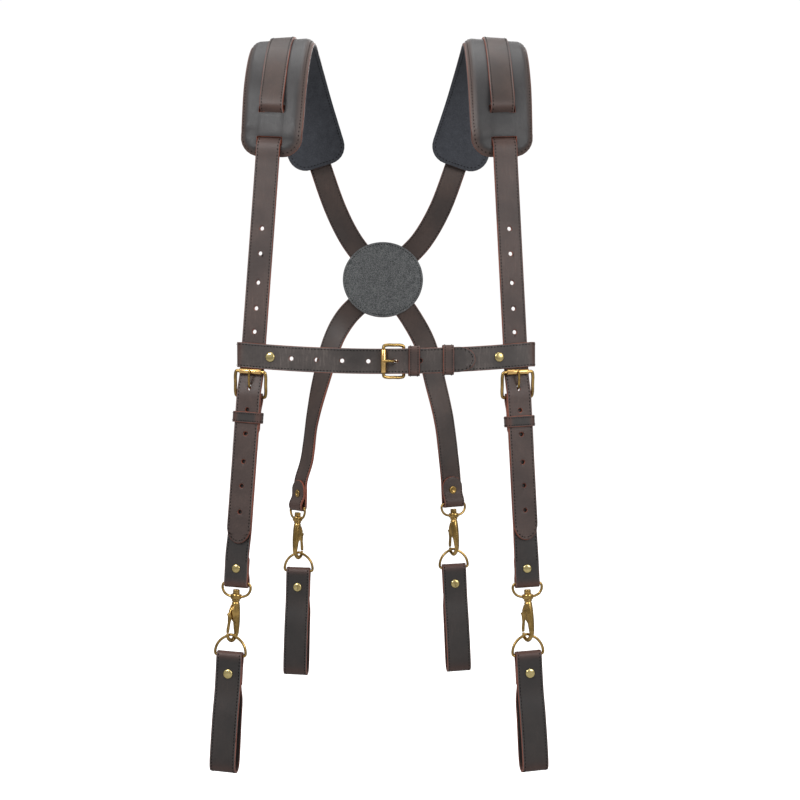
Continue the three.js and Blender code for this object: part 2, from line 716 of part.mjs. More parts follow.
function hookBody() {
  const stud = [
    [0, -7.2],
    [4, -7.4],
    [4.2, BOSS.top + GAP],
    [2.2, BOSS.top + GAP],
    [2.2, BOSS.bottom - GAP],
    [4.9, BOSS.bottom - GAP],
    [4.9, -21.4],
    [4, -22.3],
    [5, -24.3],
    [4, -27],
    [0, -27],
  ];
  const spine = rod([
    [0.4, -25, 3.6],
    [1.7, -31, 4.2],
    [2.6, -43, 4.1],
    [3, -54, 3.2],
    [2.9, -61.6, 2.6],
    [-3, -68.6, 2.4],
    [-8.6, -65.6, 2.1],
    [-9.9, -59.8, 1.8],
  ]);
  const cheek = [
    [0, -25.4],
    [-4.6, -26],
    [-7.6, -33],
    [-5.6, -40],
    [0.5, -48.5],
    [2, -47],
  ];
  const cheeks = [-2.7, 2.7].map((y) => plate(cheek, 1.3).translate(0, y, 0));
  const pin = new THREE.CylinderGeometry(1, 1, 7.4, 8).translate(PIN[0], 0, PIN[1]);
  return join(turnOutwards(turned(stud, 8)), [spine, ...cheeks, pin]);
}

function gate() {
  const lever = [
    [-3.8, -27.9],
    [-6, -28],
    [-9.6, -35.4],
    [-11.9, -36.6],
    [-10.2, -39.4],
    [-9.2, -47],
    [-10.4, -54.4],
    [-10.2, -57.6],
    [-8.2, -57.2],
    [-7.6, -47.5],
    [-5, -38],
    [-3.5, -33],
    [-3.4, -28.6],
  ];
  const bore = new THREE.CylinderGeometry(1.3, 1.3, 9, 10).translate(PIN[0], 0, PIN[1]);
  return cut(plate(lever, 3), [bore]);
}

function dRing() {
  const bar = RING_BAR;
  const top = RING_TOP;
  const half = [
    [0, bar],
    [10, bar],
    [17.6, bar],
    [18.9, bar + 1.6],
    [18.8, bar + 6],
    [16.8, bar + 12],
    [12.6, bar + 17.6],
    [6.6, bar + 21.8],
  ];
  const other = half.slice(1).reverse().map(([x, z]) => [-x, z]);
  return wireRing([...half, [0, top], ...other], WIRE.ring, 20);
}

// The belt loop: a rear tab, over the ring's bar, down the front, round the bottom, up the back and in
// between the tab and the front, where one rivet holds all three layers.
const LOOP = { bottom: -225, rivet: -108, bend: 3.5, open: 8 };

function beltLoop(frame) {
  const near = (out, up) => stop(frame, -1, out, up);
  const bar = RING_BAR;
  const { bend, bottom, open } = LOOP;
  const inner = bend - LOOP_THICK - GAP;
  const over = [180, 135, 90, 45, 0].map((angle) =>
    near(bend * Math.cos(rad(angle)), bar + bend * Math.sin(rad(angle))),
  );
  const under = [0, 45, 90, 135, 180].map((angle) =>
    near(open * Math.cos(rad(angle)), bottom + open - open * Math.sin(rad(angle))),
  );
  const route = routeOf([
    near(inner - LOOP_THICK - GAP, -121),
    near(inner - LOOP_THICK - GAP, -112),
    near(inner - LOOP_THICK - GAP, -98),
    near(-bend, bar - 5),
    ...over,
    near(bend, bar - 6),
    near(bend, -128),
    near(open - 1, -160),
    ...under,
    near(-open, -165),
    near(-open + 0.4, -140),
    near(inner - 0.5, -122),
    near(inner, -108),
    near(inner, -99),
  ]);
  return cut(strap(route, { width: LOOP_WIDTH, thick: LOOP_THICK }), [
    punch(frame, 0, LOOP.rivet, SHANK + 0.5),
  ]);
}

for (const [name, { at, hook, ring, yaw, lean }] of Object.entries(HANGERS)) {
  const group = groupAt(frameAt(at, 0, lean));
  mesh("eye_" + name, eye(), BRASS, group).rotation.z = rad(yaw);
  const hookGroup = new THREE.Group();
  hookGroup.rotation.z = rad(hook);
  group.add(hookGroup);
  mesh("hook_" + name, hookBody(), BRASS, hookGroup);
  mesh("gate_" + name, gate(), BRASS, hookGroup);

  const throat = vector(HOOK_THROAT, 0, 0).applyAxisAngle(vector(0, 0, 1), rad(hook));
  const ringFrame = frameAt(at, 0, lean)
    .multiply(new THREE.Matrix4().makeTranslation(throat.x, throat.y, 0))
    .multiply(new THREE.Matrix4().makeRotationZ(rad(ring)));
  const ringGroup = groupAt(ringFrame);
  mesh("ring_" + name, dRing(), BRASS, ringGroup);
  mesh("loop_" + name, beltLoop(ringFrame), DARK_LEATHER);
  const outermost = LOOP.bend + LOOP_THICK / 2 + GAP;
  const innermost = LOOP.bend - 2.5 * LOOP_THICK - 3 * GAP;
  rivet("loop_rivet_" + name, ringGroup, { across: 0, up: LOOP.rivet, front: -outermost, back: -innermost });
}

export default root;
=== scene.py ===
"""Leather tool-belt suspenders: padded shoulders, back straps that cross under a round patch, a buckled
chest strap, and four belt loops on snap hooks."""

import math

import bmesh
import bpy
import numpy as np
from mathutils import Matrix, Vector


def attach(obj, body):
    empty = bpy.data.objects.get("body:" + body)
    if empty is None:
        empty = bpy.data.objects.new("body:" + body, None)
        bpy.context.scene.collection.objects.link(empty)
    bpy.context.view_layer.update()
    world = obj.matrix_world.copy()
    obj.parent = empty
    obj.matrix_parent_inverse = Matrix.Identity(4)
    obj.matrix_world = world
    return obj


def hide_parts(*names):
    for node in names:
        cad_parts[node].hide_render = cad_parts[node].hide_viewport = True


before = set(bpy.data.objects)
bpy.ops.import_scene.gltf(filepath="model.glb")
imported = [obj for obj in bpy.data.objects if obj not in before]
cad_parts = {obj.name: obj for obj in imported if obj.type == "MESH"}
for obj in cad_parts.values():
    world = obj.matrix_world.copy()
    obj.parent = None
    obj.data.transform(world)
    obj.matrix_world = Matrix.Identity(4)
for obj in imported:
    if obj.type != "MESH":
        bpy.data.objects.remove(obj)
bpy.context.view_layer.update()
MM = 0.001

# ---------------------------------------------------------------------------------------------
# Front straps. Two 30 mm straps of oiled pull-up leather, 3 mm thick, cut from the side with raw
# edges, sewn along both edges and punched with a row of adjusting holes. Each comes out of the
# shoulder pad's lower slot, runs through the chest strap's loop and the buckle, and ends in a tip.

STRAP_WIDTH = 30
STRAP_THICK = 3
LOWER_WIDTH = 29.4
FRONT_Y = -116
ROLLER_UP = -412
SIDES = {
    "left": {"sign": -1, "top": 128.1, "spread": 0.073, "yaw": -14, "crest": 125.5, "back": 85, "tail": -618,
             "keeper": -467},
    "right": {"sign": 1, "top": 138.1, "spread": 0.051, "yaw": 14, "crest": 137, "back": 92, "tail": -613,
              "keeper": -471},
}


def frame_at(at, yaw, lean=0):
    """A frame in millimetres, turned about Z and then leaned about Y."""
    turn = Matrix.Rotation(math.radians(lean), 4, "Y") @ Matrix.Rotation(math.radians(yaw), 4, "Z")
    return Matrix.Translation(at) @ turn


front = {}
for side, its in SIDES.items():
    lean = -its["sign"] * math.degrees(math.atan(its["spread"]))
    front[side] = frame_at((its["sign"] * its["top"], FRONT_Y, 0), its["yaw"], lean)


def stop(place, face, out, up, across=0, flip=1):
    """A point that a strap runs through, and the direction across the strap there."""
    side_way = (place.to_3x3() @ Vector((flip, 0, 0))).normalized()
    return place @ Vector((across, face * out, up)), side_way


def smooth_line(points, steps, closed=False):
    """Points on a centripetal Catmull-Rom line through the given ones."""
    points = [np.array(p, float) for p in points]
    count = len(points)
    spans = count if closed else count - 1
    line = []
    for k in range(spans):
        if closed:
            p0, p1, p2, p3 = (points[(k + i) % count] for i in (-1, 0, 1, 2))
        else:
            p1, p2 = points[k], points[k + 1]
            p0 = points[k - 1] if k else 2 * p1 - p2
            p3 = points[k + 2] if k + 2 < count else 2 * p2 - p1
        d0, d1, d2 = (float(np.linalg.norm(b - a)) ** 0.5 for a, b in ((p0, p1), (p1, p2), (p2, p3)))
        d1 = d1 if d1 > 1e-4 else 1
        d0 = d0 if d0 > 1e-4 else d1
        d2 = d2 if d2 > 1e-4 else d1
        m1 = ((p1 - p0) / d0 - (p2 - p0) / (d0 + d1) + (p2 - p1) / d1) * d1
        m2 = ((p2 - p1) / d1 - (p3 - p1) / (d1 + d2) + (p3 - p2) / d2) * d1
        for i in range(steps):
            t = i / steps
            line.append(p1 + m1 * t + (3 * (p2 - p1) - 2 * m1 - m2) * t**2 + (2 * (p1 - p2) + m1 + m2) * t**3)
    if not closed:
        line.append(points[-1])
    return np.array(line)


SPAN_STEPS = 16
TIGHT_TURN = 0.3  # radians a millimetre, where the wax is fully drawn out of a bend
MOST_DRAWN = 0.8


class Route:
    """The middle line of a strap, measured along its length, in millimetres."""

    def __init__(self, stops):
        self.at = smooth_line([s[0] for s in stops], SPAN_STEPS)
        self.across = smooth_line([s[1] for s in stops], SPAN_STEPS)
        steps = np.linalg.norm(np.diff(self.at, axis=0), axis=1)
        self.s = np.concatenate([[0], np.cumsum(steps)])
        self.length = float(self.s[-1])
        along = np.gradient(self.at, axis=0)
        self.along = along / np.linalg.norm(along, axis=1)[:, None]
        across = self.across - self.along * np.sum(self.across * self.along, axis=1)[:, None]
        self.across = across / np.linalg.norm(across, axis=1)[:, None]
        self.out = np.cross(self.along, self.across)
        turn = np.linalg.norm(np.gradient(self.along, self.s, axis=0), axis=1)
        even = np.arange(0, self.length, 1.0)
        wide = np.convolve(np.interp(even, self.s, turn), np.ones(9) / 9, mode="same")
        self.bent = (even, np.clip(wide / TIGHT_TURN, 0, MOST_DRAWN))

    def share(self, t):
        """The point a share of the way through the stops, with its directions."""
        i = t * (len(self.at) - 1)
        rows = [np.array([np.interp(i, range(len(r)), r[:, k]) for k in range(3)])
                for r in (self.at, self.across, self.out)]
        return rows[0], rows[1] / np.linalg.norm(rows[1]), rows[2] / np.linalg.norm(rows[2])

    def reach(self, t):
        return float(np.interp(t * (len(self.s) - 1), range(len(self.s)), self.s))

    def value(self, rows, s):
        return np.stack([np.interp(s, self.s, rows[:, i]) for i in range(3)], axis=-1)

    def place(self, s, v, w):
        """Where the point at s along, v across and w out of a flat strap comes to lie, in metres."""
        s = np.asarray(s, float)
        beyond = s - np.clip(s, 0, self.length)
        at = self.value(self.at, s) + self.value(self.along, s) * beyond[..., None]
        at = at + self.value(self.across, s) * np.asarray(v)[..., None]
        return (at + self.value(self.out, s) * np.asarray(w)[..., None]) * MM

    def frame(self, s):
        rows = [self.value(r, s) for r in (self.along, self.across, self.out)]
        return [r / np.linalg.norm(r) for r in rows]

    def nearest(self, point):
        """How far along the route the stop nearest to a point is."""
        return float(self.s[np.argmin(np.linalg.norm(self.at - np.array(point), axis=1))])


def add(tree, kind, links=None, **values):
    """A node with its inputs set, or linked where an output socket is given."""
    node = tree.nodes.new(kind)
    for name, value in values.items():
        setattr(node, name, value)
    for name, value in (links or {}).items():
        socket = node.inputs[name]
        if isinstance(value, bpy.types.NodeSocket):
            tree.links.new(value, socket)
        else:
            socket.default_value = value
    return node


def mix(tree, factor, first, second, **values):
    """Two colours, each a socket or a plain colour, mixed by a factor."""
    node = add(tree, "ShaderNodeMix", {"Factor": factor}, data_type="RGBA", **values)
    for colour, socket in ((first, node.inputs[6]), (second, node.inputs[7])):
        if isinstance(colour, bpy.types.NodeSocket):
            tree.links.new(colour, socket)
        else:
            socket.default_value = colour
    return node.outputs[2]


def noise(tree, where, scale, detail, roughness=0.5):
    settings = {"Vector": where, "Scale": scale, "Detail": detail, "Roughness": roughness}
    return add(tree, "ShaderNodeTexNoise", settings).outputs["Fac"]


def times(tree, first, second):
    """The product of two masks, kept between 0 and 1."""
    return add(tree, "ShaderNodeMath", {0: first, 1: second}, operation="MULTIPLY", use_clamp=True).outputs[0]


def start_finish(name, colours, masks):
    """A node group for a finish, with its inputs, and the place of the point that it colours."""
    tree = bpy.data.node_groups.new(name, "ShaderNodeTree")
    for colour in colours:
        tree.interface.new_socket(name=colour, in_out="INPUT", socket_type="NodeSocketColor")
    for mask, value in masks.items():
        tree.interface.new_socket(name=mask, in_out="INPUT",
                                  socket_type="NodeSocketFloat").default_value = value
    for made, kind in (("Colour", "Color"), ("Roughness", "Float"), ("Height", "Float")):
        tree.interface.new_socket(name=made, in_out="OUTPUT", socket_type="NodeSocket" + kind)
    given = tree.nodes.new("NodeGroupInput").outputs
    return tree, given, add(tree, "ShaderNodeTexCoord").outputs["Object"]


def end_finish(tree, colour, roughness, height):
    out = tree.nodes.new("NodeGroupOutput")
    for socket, name in ((colour, "Colour"), (roughness, "Roughness"), (height, "Height")):
        tree.links.new(socket, out.inputs[name])
    return tree


def ramp(tree, factor, stops):
    node = add(tree, "ShaderNodeValToRGB", {"Fac": factor})
    for element in list(node.color_ramp.elements)[1:]:
        node.color_ramp.elements.remove(element)
    for i, (position, level) in enumerate(stops):
        element = node.color_ramp.elements[0] if i == 0 else node.color_ramp.elements.new(position)
        element.position = position
        element.color = (level, level, level, 1)
    return node.outputs["Color"]


def srgb(red, green, blue):
    """A colour given in 0 to 255, as light."""
    shares = [c / 255 for c in (red, green, blue)]
    return (*(c / 12.92 if c <= 0.04045 else ((c + 0.055) / 1.055) ** 2.4 for c in shares), 1)


def make_hide_group():
    """Pull-up leather: broad cloudy tone, fine pores and creases, and scuffs where the wax has gone pale. On
    the chest strap the pale scuff patches are also a painted sheen, a highlight painted into the colour.
    """
    tree, given, where = start_finish("Pull-up hide", ("Colour", "Deep", "Scuffs and sheen", "Pulled"),
                                      {"Scuffing and sheen": 0.5, "Bent": 0.0})
    cloud = noise(tree, where, 20, 4, 0.55)
    grain = noise(tree, where, 620, 5, 0.7)
    pores = add(tree, "ShaderNodeTexVoronoi", {"Vector": where, "Scale": 900, "Randomness": 1})
    pores = pores.outputs["Distance"]
    streak = add(tree, "ShaderNodeMapping", {"Vector": where, "Scale": (420, 420, 60)})
    scratches = noise(tree, streak.outputs[0], 1, 3)
    toned = mix(tree, ramp(tree, cloud, [(0.35, 1), (0.62, 0)]), given["Colour"], given["Deep"])
    # Pale scuff patches from noise: real scuffs on most straps, and on the chest strap also a painted sheen
    pale = ramp(tree, scratches, [(0.5, 0), (0.75, 1)])
    spots = ramp(tree, cloud, [(0.45, 0), (0.68, 1)])
    scuff_and_sheen = times(tree, times(tree, pale, spots), given["Scuffing and sheen"])
    scuffed_and_sheen = mix(tree, scuff_and_sheen, toned, given["Scuffs and sheen"])
    pulled = mix(tree, given["Bent"], scuffed_and_sheen, given["Pulled"])
    speckle = ramp(tree, grain, [(0.3, 0.72), (0.62, 1.06)])
    final = mix(tree, 1.0, pulled, speckle, blend_type="MULTIPLY")
    levels = {"Value": grain, "From Min": 0.3, "From Max": 0.7, "To Min": 0.42, "To Max": 0.62}
    rough = add(tree, "ShaderNodeMapRange", levels).outputs[0]
    height = add(tree, "ShaderNodeMath", {0: pores, 1: 0.5, 2: grain}, operation="MULTIPLY_ADD").outputs[0]
    return end_finish(tree, final, rough, height)


HIDE = make_hide_group()


def finished(name, group, values, bump=0.2, depth=0.0006, **sockets):
    """A material whose colour, roughness and height come from a group, with its other sockets plain."""
    material = bpy.data.materials.new(name)
    material.use_nodes = True
    tree = material.node_tree
    shader = tree.nodes["Principled BSDF"]
    node = tree.nodes.new("ShaderNodeGroup")
    node.node_tree = group
    for key, value in values.items():
        node.inputs[key].default_value = value
    if "Bent" in node.inputs:
        bent = add(tree, "ShaderNodeAttribute", attribute_name="bent")
        tree.links.new(bent.outputs["Fac"], node.inputs["Bent"])
    tree.links.new(node.outputs["Colour"], shader.inputs["Base Color"])
    tree.links.new(node.outputs["Roughness"], shader.inputs["Roughness"])
    relief = add(tree, "ShaderNodeBump",
                 {"Height": node.outputs["Height"], "Strength": bump, "Distance": depth})
    tree.links.new(relief.outputs[0], shader.inputs["Normal"])
    for key, value in sockets.items():
        shader.inputs[key.replace("_", " ")].default_value = value
    return material


# The scuffed colour and amount make real pale scuffs, and on the chest strap also a painted sheen
def hide(name, colour, deep, scuffed_and_sheen, scuffing_and_sheen=0.5, pulled=(88, 60, 52), **sockets):
    values = {"Colour": srgb(*colour), "Deep": srgb(*deep), "Scuffs and sheen": srgb(*scuffed_and_sheen), "Scuffing and sheen": scuffing_and_sheen,
              "Pulled": srgb(*pulled)}
    return finished(name, HIDE, values, **sockets)


brown_hide = hide("brown strap leather", (72, 56, 51), (56, 42, 38), (100, 80, 73))
raw_edge = hide("raw leather edge", (134, 68, 46), (96, 48, 36), (160, 92, 66), 0.6)
thread = hide("waxed thread", (14, 10, 10), (10, 8, 8), (20, 16, 15), Specular_IOR_Level=0.1)


def raise_sheet(bm, faces, vec):
    """A flat sheet drawn up into a solid one."""
    raised = bmesh.ops.extrude_face_region(bm, geom=faces)["geom"]
    bmesh.ops.translate(bm, verts=[g for g in raised if isinstance(g, bmesh.types.BMVert)], vec=vec)


def leather_piece(name, route, width, thick, body, replaced, face=None, edge=None, start_corner=0,
                  end_corner=0, holes=(), slots=(), step=4.0, lift=None, rim=0.5, tip=1.0, row=9, pull=None):
    """A strap cut flat, its corners rounded, holes punched and edges eased, then bent along its route."""
    bm = bmesh.new()
    bmesh.ops.create_grid(bm, x_segments=1, y_segments=1, size=0.5)
    length = route.length
    bmesh.ops.translate(bm, verts=bm.verts, vec=(0.5, 0, 0))
    bmesh.ops.scale(bm, verts=bm.verts, vec=(length, width, 1))
    for corner, ends in ((start_corner, 0), (end_corner, length)):
        if corner:
            corners = [v for v in bm.verts if abs(v.co.x - ends) < 1e-3]
            bmesh.ops.bevel(bm, geom=corners, offset=corner, segments=7, affect="VERTICES", profile=0.5)
    for v in bm.verts:
        if v.co.x > length - end_corner - 1e-3:
            v.co.x = length - (length - v.co.x) * tip
    bmesh.ops.delete(bm, geom=bm.faces[:], context="FACES_ONLY")
    for s, v, radius, stretch in holes:
        shape = Matrix.Translation((s, v, 0)) @ Matrix.Diagonal((stretch, 1, 1, 1))
        bmesh.ops.create_circle(bm, cap_ends=False, segments=14, radius=radius, matrix=shape)
    for low, high, half in slots:
        made = bmesh.ops.create_grid(bm, x_segments=1, y_segments=1, size=0.5)
        bmesh.ops.scale(bm, verts=made["verts"], vec=(high - low, 2 * half, 1))
        bmesh.ops.translate(bm, verts=made["verts"], vec=((low + high) / 2, 0, 0))
        disc = {f for v in made["verts"] for f in v.link_faces}
        bmesh.ops.delete(bm, geom=list(disc), context="FACES_ONLY")
    bmesh.ops.triangle_fill(bm, use_beauty=True, edges=bm.edges[:])
    cuts = [((i * step, 0, 0), (1, 0, 0)) for i in range(1, int(length / step))]
    rows = max(2, round(width / row))
    inner = width / 2 - rim
    cuts += [((0, inner * (2 * i / rows - 1), 0), (0, 1, 0)) for i in range(rows + 1)]
    cuts += [((0, e * (inner - 1.2), 0), (0, 1, 0)) for e in (-1, 1)]
    for point, normal in cuts:
        whole = bm.verts[:] + bm.edges[:] + bm.faces[:]
        bmesh.ops.bisect_plane(bm, geom=whole, dist=1e-5, plane_co=point, plane_no=normal)
    bmesh.ops.translate(bm, verts=bm.verts, vec=(0, 0, -thick / 2))
    flat = bm.faces[:]
    raise_sheet(bm, flat, (0, 0, thick))
    bmesh.ops.recalc_face_normals(bm, faces=bm.faces)
    for f in bm.faces:
        f.material_index = 1 if abs(f.normal.z) < 0.5 else (0 if f.normal.z > 0 else 2)
    rims = [e for e in bm.edges if {f.material_index for f in e.link_faces} in ({0, 1}, {1, 2})]
    bmesh.ops.bevel(bm, geom=rims, offset=min(0.5, thick / 4), segments=2, profile=0.5, affect="EDGES",
                    material=1)
    for f in bm.faces:
        f.smooth = True
        if all(abs(v.co.y) > inner - 0.01 for v in f.verts):
            f.material_index = 1
    uv = bm.loops.layers.uv.new("UVMap")
    for f in bm.faces:
        for loop in f.loops:
            loop[uv].uv = (loop.vert.co.x * MM, loop.vert.co.y * MM)
    places = np.array([v.co for v in bm.verts])
    out = places[:, 2]
    if lift is not None:
        out = out + lift(places[:, 0], places[:, 1])
    bent = route.place(places[:, 0], -places[:, 1], out)
    layer = bm.verts.layers.float.new("bent")
    tone = np.interp(places[:, 0], *route.bent)
    if pull is not None:
        tone = np.maximum(tone, pull(places[:, 0], places[:, 1]))
    for v, co, level in zip(bm.verts, bent, tone):
        v.co = co
        v[layer] = float(level)
    face = face or brown_hide
    return shown(bm, name, [face, edge or raw_edge, face], body, replaced)


def shown(bm, name, materials, body, replaced=()):
    """The bmesh as an object that rides on a body, takes a slot's finish and stands for CAD nodes."""
    volume = bm.calc_volume(signed=True)
    if volume < 0:
        bmesh.ops.reverse_faces(bm, faces=bm.faces)
    mesh = bpy.data.meshes.new(name)
    bm.to_mesh(mesh)
    bm.free()
    for material in materials:
        mesh.materials.append(material)
    piece = bpy.data.objects.new(name, mesh)
    bpy.context.scene.collection.objects.link(piece)
    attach(piece, body)
    if replaced:
        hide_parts(*replaced)
    return piece


def seam(name, route, lines, body, lift=None, pitch=3.9, size=(1.3, 0.6, 0.36)):
    """Rows of stitches on a bent strap; a line is (start, end, across at start, across at end, out)."""
    bm = bmesh.new()
    for start, end, v0, v1, w in lines:
        length = math.hypot(end - start, v1 - v0)
        count = max(1, round(length / pitch))
        for i in range(count):
            t = (i + 0.5) / count
            s, v = start + (end - start) * t, v0 + (v1 - v0) * t
            ds, dv = (end - start) / length, (v1 - v0) / length
            raise_by = float(lift(np.array([s]), np.array([v]))[0]) if lift is not None else 0
            along, across, out = route.frame(s)
            way = Vector(along * ds - across * dv)
            side_way = Vector(out).cross(way)
            turn = Matrix((way, side_way, Vector(out))).transposed().to_4x4()
            where = Matrix.Translation(Vector(route.place(s, -v, w + raise_by)))
            grow = Matrix.Diagonal((size[0] * MM, size[1] * MM, size[2] * MM, 1))
            bmesh.ops.create_icosphere(bm, subdivisions=1, radius=1, matrix=where @ turn @ grow)
    for f in bm.faces:
        f.smooth = True
    return shown(bm, name, [thread], body)


THREAD_STANDS = 0.08  # how far a stitch's middle stands out of the leather
SEAM_INSET = 2.5


def edge_lines(start, end, width, thick, face=1, inset=SEAM_INSET):
    """Two seams along a strap's edges, on its outer face or, where face is -1, its inner one."""
    across, out = width / 2 - inset, face * (thick / 2 + THREAD_STANDS)
    return [(start, end, edge * across, edge * across, out) for edge in (-1, 1)]


TIP_LINE = [(-19, 12.5), (-14, 12), (-9, 10), (-5.2, 6.6), (-3, 1)]  # from the strap's end, across


def tip_lines(length):
    """The stitches that follow a strap's pointed tip."""
    return [(length + s0, length + s1, e * v0, e * v1, STRAP_THICK / 2 + 0.05)
            for (s0, v0), (s1, v1) in zip(TIP_LINE, TIP_LINE[1:]) for e in (-1, 1)]


HOLE = 2.5
PRONG_HOLE = 1.8
FRONT_HOLES = 12
HOLE_IN_USE = 6
HOLE_PITCH = 30.8
FIRST_HOLE = -241
CHEST_LOOP_UP = -414  # below this the front strap has passed through the chest strap's loop
UNDER = 6.2
TAIL_OUT = 5.2
for side, its in SIDES.items():
    line = [stop(front[side], -1, -UNDER, -113), stop(front[side], -1, -UNDER, -128),
            stop(front[side], -1, 0, -138)]
    line += [stop(front[side], -1, 0, up) for up in (-160, -240, -320, -400, -414)]
    line += [stop(front[side], -1, 2.4, -426)]
    line += [stop(front[side], -1, TAIL_OUT, up) for up in (-438, -452, -520)]
    line += [stop(front[side], -1, TAIL_OUT, its["tail"])]
    route = Route(line)
    punched = []
    for hole in range(FRONT_HOLES):
        up = FIRST_HOLE - hole * HOLE_PITCH
        if hole != HOLE_IN_USE:
            out = 0 if up > CHEST_LOOP_UP else TAIL_OUT
            punched.append((route.nearest(stop(front[side], -1, out, up)[0]), 0, HOLE, 1))
    punched.append((route.nearest(stop(front[side], -1, 3.2, -431)[0]), 0, PRONG_HOLE, 2.2))
    leather_piece("front_strap_" + side, route, STRAP_WIDTH, STRAP_THICK, "harness",
                  ["front_strap_" + side], end_corner=14.5, holes=punched, tip=1.4)
    rows = edge_lines(12, route.length - 19, STRAP_WIDTH, STRAP_THICK)
    rows += edge_lines(12, route.length - 19, STRAP_WIDTH, STRAP_THICK, face=-1) + tip_lines(route.length)
    seam("front_strap_seam_" + side, route, rows, "harness")

# ---------------------------------------------------------------------------------------------
# Shoulder pads. Each is a shaped leather top, a foam core and a suede lining, sewn together round
# the edge so that the foam is pinched there and stands full in the middle. Two pairs of slots in
# the leather let the straps dive under a smooth bridge.

PAD_WIDTH = 78
PAD_CORNER = 24
PAD_OUT = 10.6
RIDE = 12.4
PAD_LEATHER = 2.6
LINING = 1.5
ARCH = [
    (-93, -66, 0.7), (-68, -29, 0.4), (-35, -6.5, 0.16), (0, 0, 0), (34, -6, 0.05),
    (63, -28, 0.2), (83, -62, 0.44), (93, -98, 0.72), (97, -133, 1),
]
pad_hide = hide("pad leather", (49, 48, 49), (40, 39, 40), (72, 69, 68), 0.4, pulled=(88, 68, 60))


def make_suede_group():
    """Napped suede: short fibres that catch the light in specks, over patches of brushed nap."""
    tree, given, where = start_finish("Suede nap", ("Dark nap", "Light nap"), {"Speck": 0.5})
    fibre = noise(tree, where, 1000, 3, 0.8)
    brushed = noise(tree, where, 110, 5, 0.7)
    specks = ramp(tree, fibre, [(0.42, 0), (0.66, 1)])
    patches = ramp(tree, brushed, [(0.3, 0), (0.72, 1)])
    mixed = add(tree, "ShaderNodeMath", {0: specks, 1: given["Speck"]}, operation="MULTIPLY").outputs[0]
    level = add(tree, "ShaderNodeMath", {0: patches, 1: 0.25, 2: mixed}, operation="MULTIPLY_ADD",
                use_clamp=True)
    tone = mix(tree, level.outputs[0], given["Dark nap"], given["Light nap"])
    rough = add(tree, "ShaderNodeMapRange", {"Value": fibre, "To Min": 0.85, "To Max": 1.0}).outputs[0]
    return end_finish(tree, tone, rough, fibre)


SUEDE = make_suede_group()
values = {"Dark nap": srgb(34, 36, 42), "Light nap": srgb(76, 79, 86), "Speck": 0.5}
lining_suede = finished("lining suede", SUEDE, values, bump=0.35, depth=0.0008, Sheen_Weight=0.15)


def pad_route(side):
    its = SIDES[side]
    sign, crest = its["sign"], its["crest"]
    stops = [stop(front[side], -1, -RIDE, up, 0, -1) for up in (-152, -135, -118)]
    bottom = abs(stops[-1][0].x)
    for y, z, share in ARCH:
        end = bottom if y < 0 else its["back"]
        yaw = (-0.2 if y < 0 else 0.17) * sign * share
        stops.append((Vector((sign * (crest + (end - crest) * share), y, z)),
                      Vector((-1, yaw, 0.07 * sign * (1 - share))).normalized()))
    return Route(stops)


pads = {side: pad_route(side) for side in SIDES}


def from_edge(length, width, corner):
    """How far inside a rounded rectangle's edge a point of the flat pad is."""
    def distance(s, v):
        over_s = np.abs(s - length / 2) - (length / 2 - corner)
        over_v = np.abs(v) - (width / 2 - corner)
        outside = np.hypot(np.maximum(over_s, 0), np.maximum(over_v, 0))
        return corner - outside - np.minimum(np.maximum(over_s, over_v), 0)
    return distance


def eased(x):
    x = np.clip(x, 0, 1)
    return x * x * (3 - 2 * x)


def border(length, width, corner, inset, w):
    """Seam lines round a rounded rectangle."""
    half, radius = width / 2 - inset, corner - inset
    lines = [(corner, length - corner, e * half, e * half, w) for e in (-1, 1)]
    lines += [(x, x, -(width / 2 - corner), width / 2 - corner, w) for x in (inset, length - inset)]
    angles = [math.radians(a) for a in range(0, 91, 15)]
    for a0, a1 in zip(angles, angles[1:]):
        for e in (-1, 1):
            v0, v1 = (e * (width / 2 - corner + radius * math.sin(a)) for a in (a0, a1))
            s0, s1 = (corner - radius * math.cos(a) for a in (a0, a1))
            lines += [(s0, s1, v0, v1, w), (length - s0, length - s1, v0, v1, w)]
    return lines


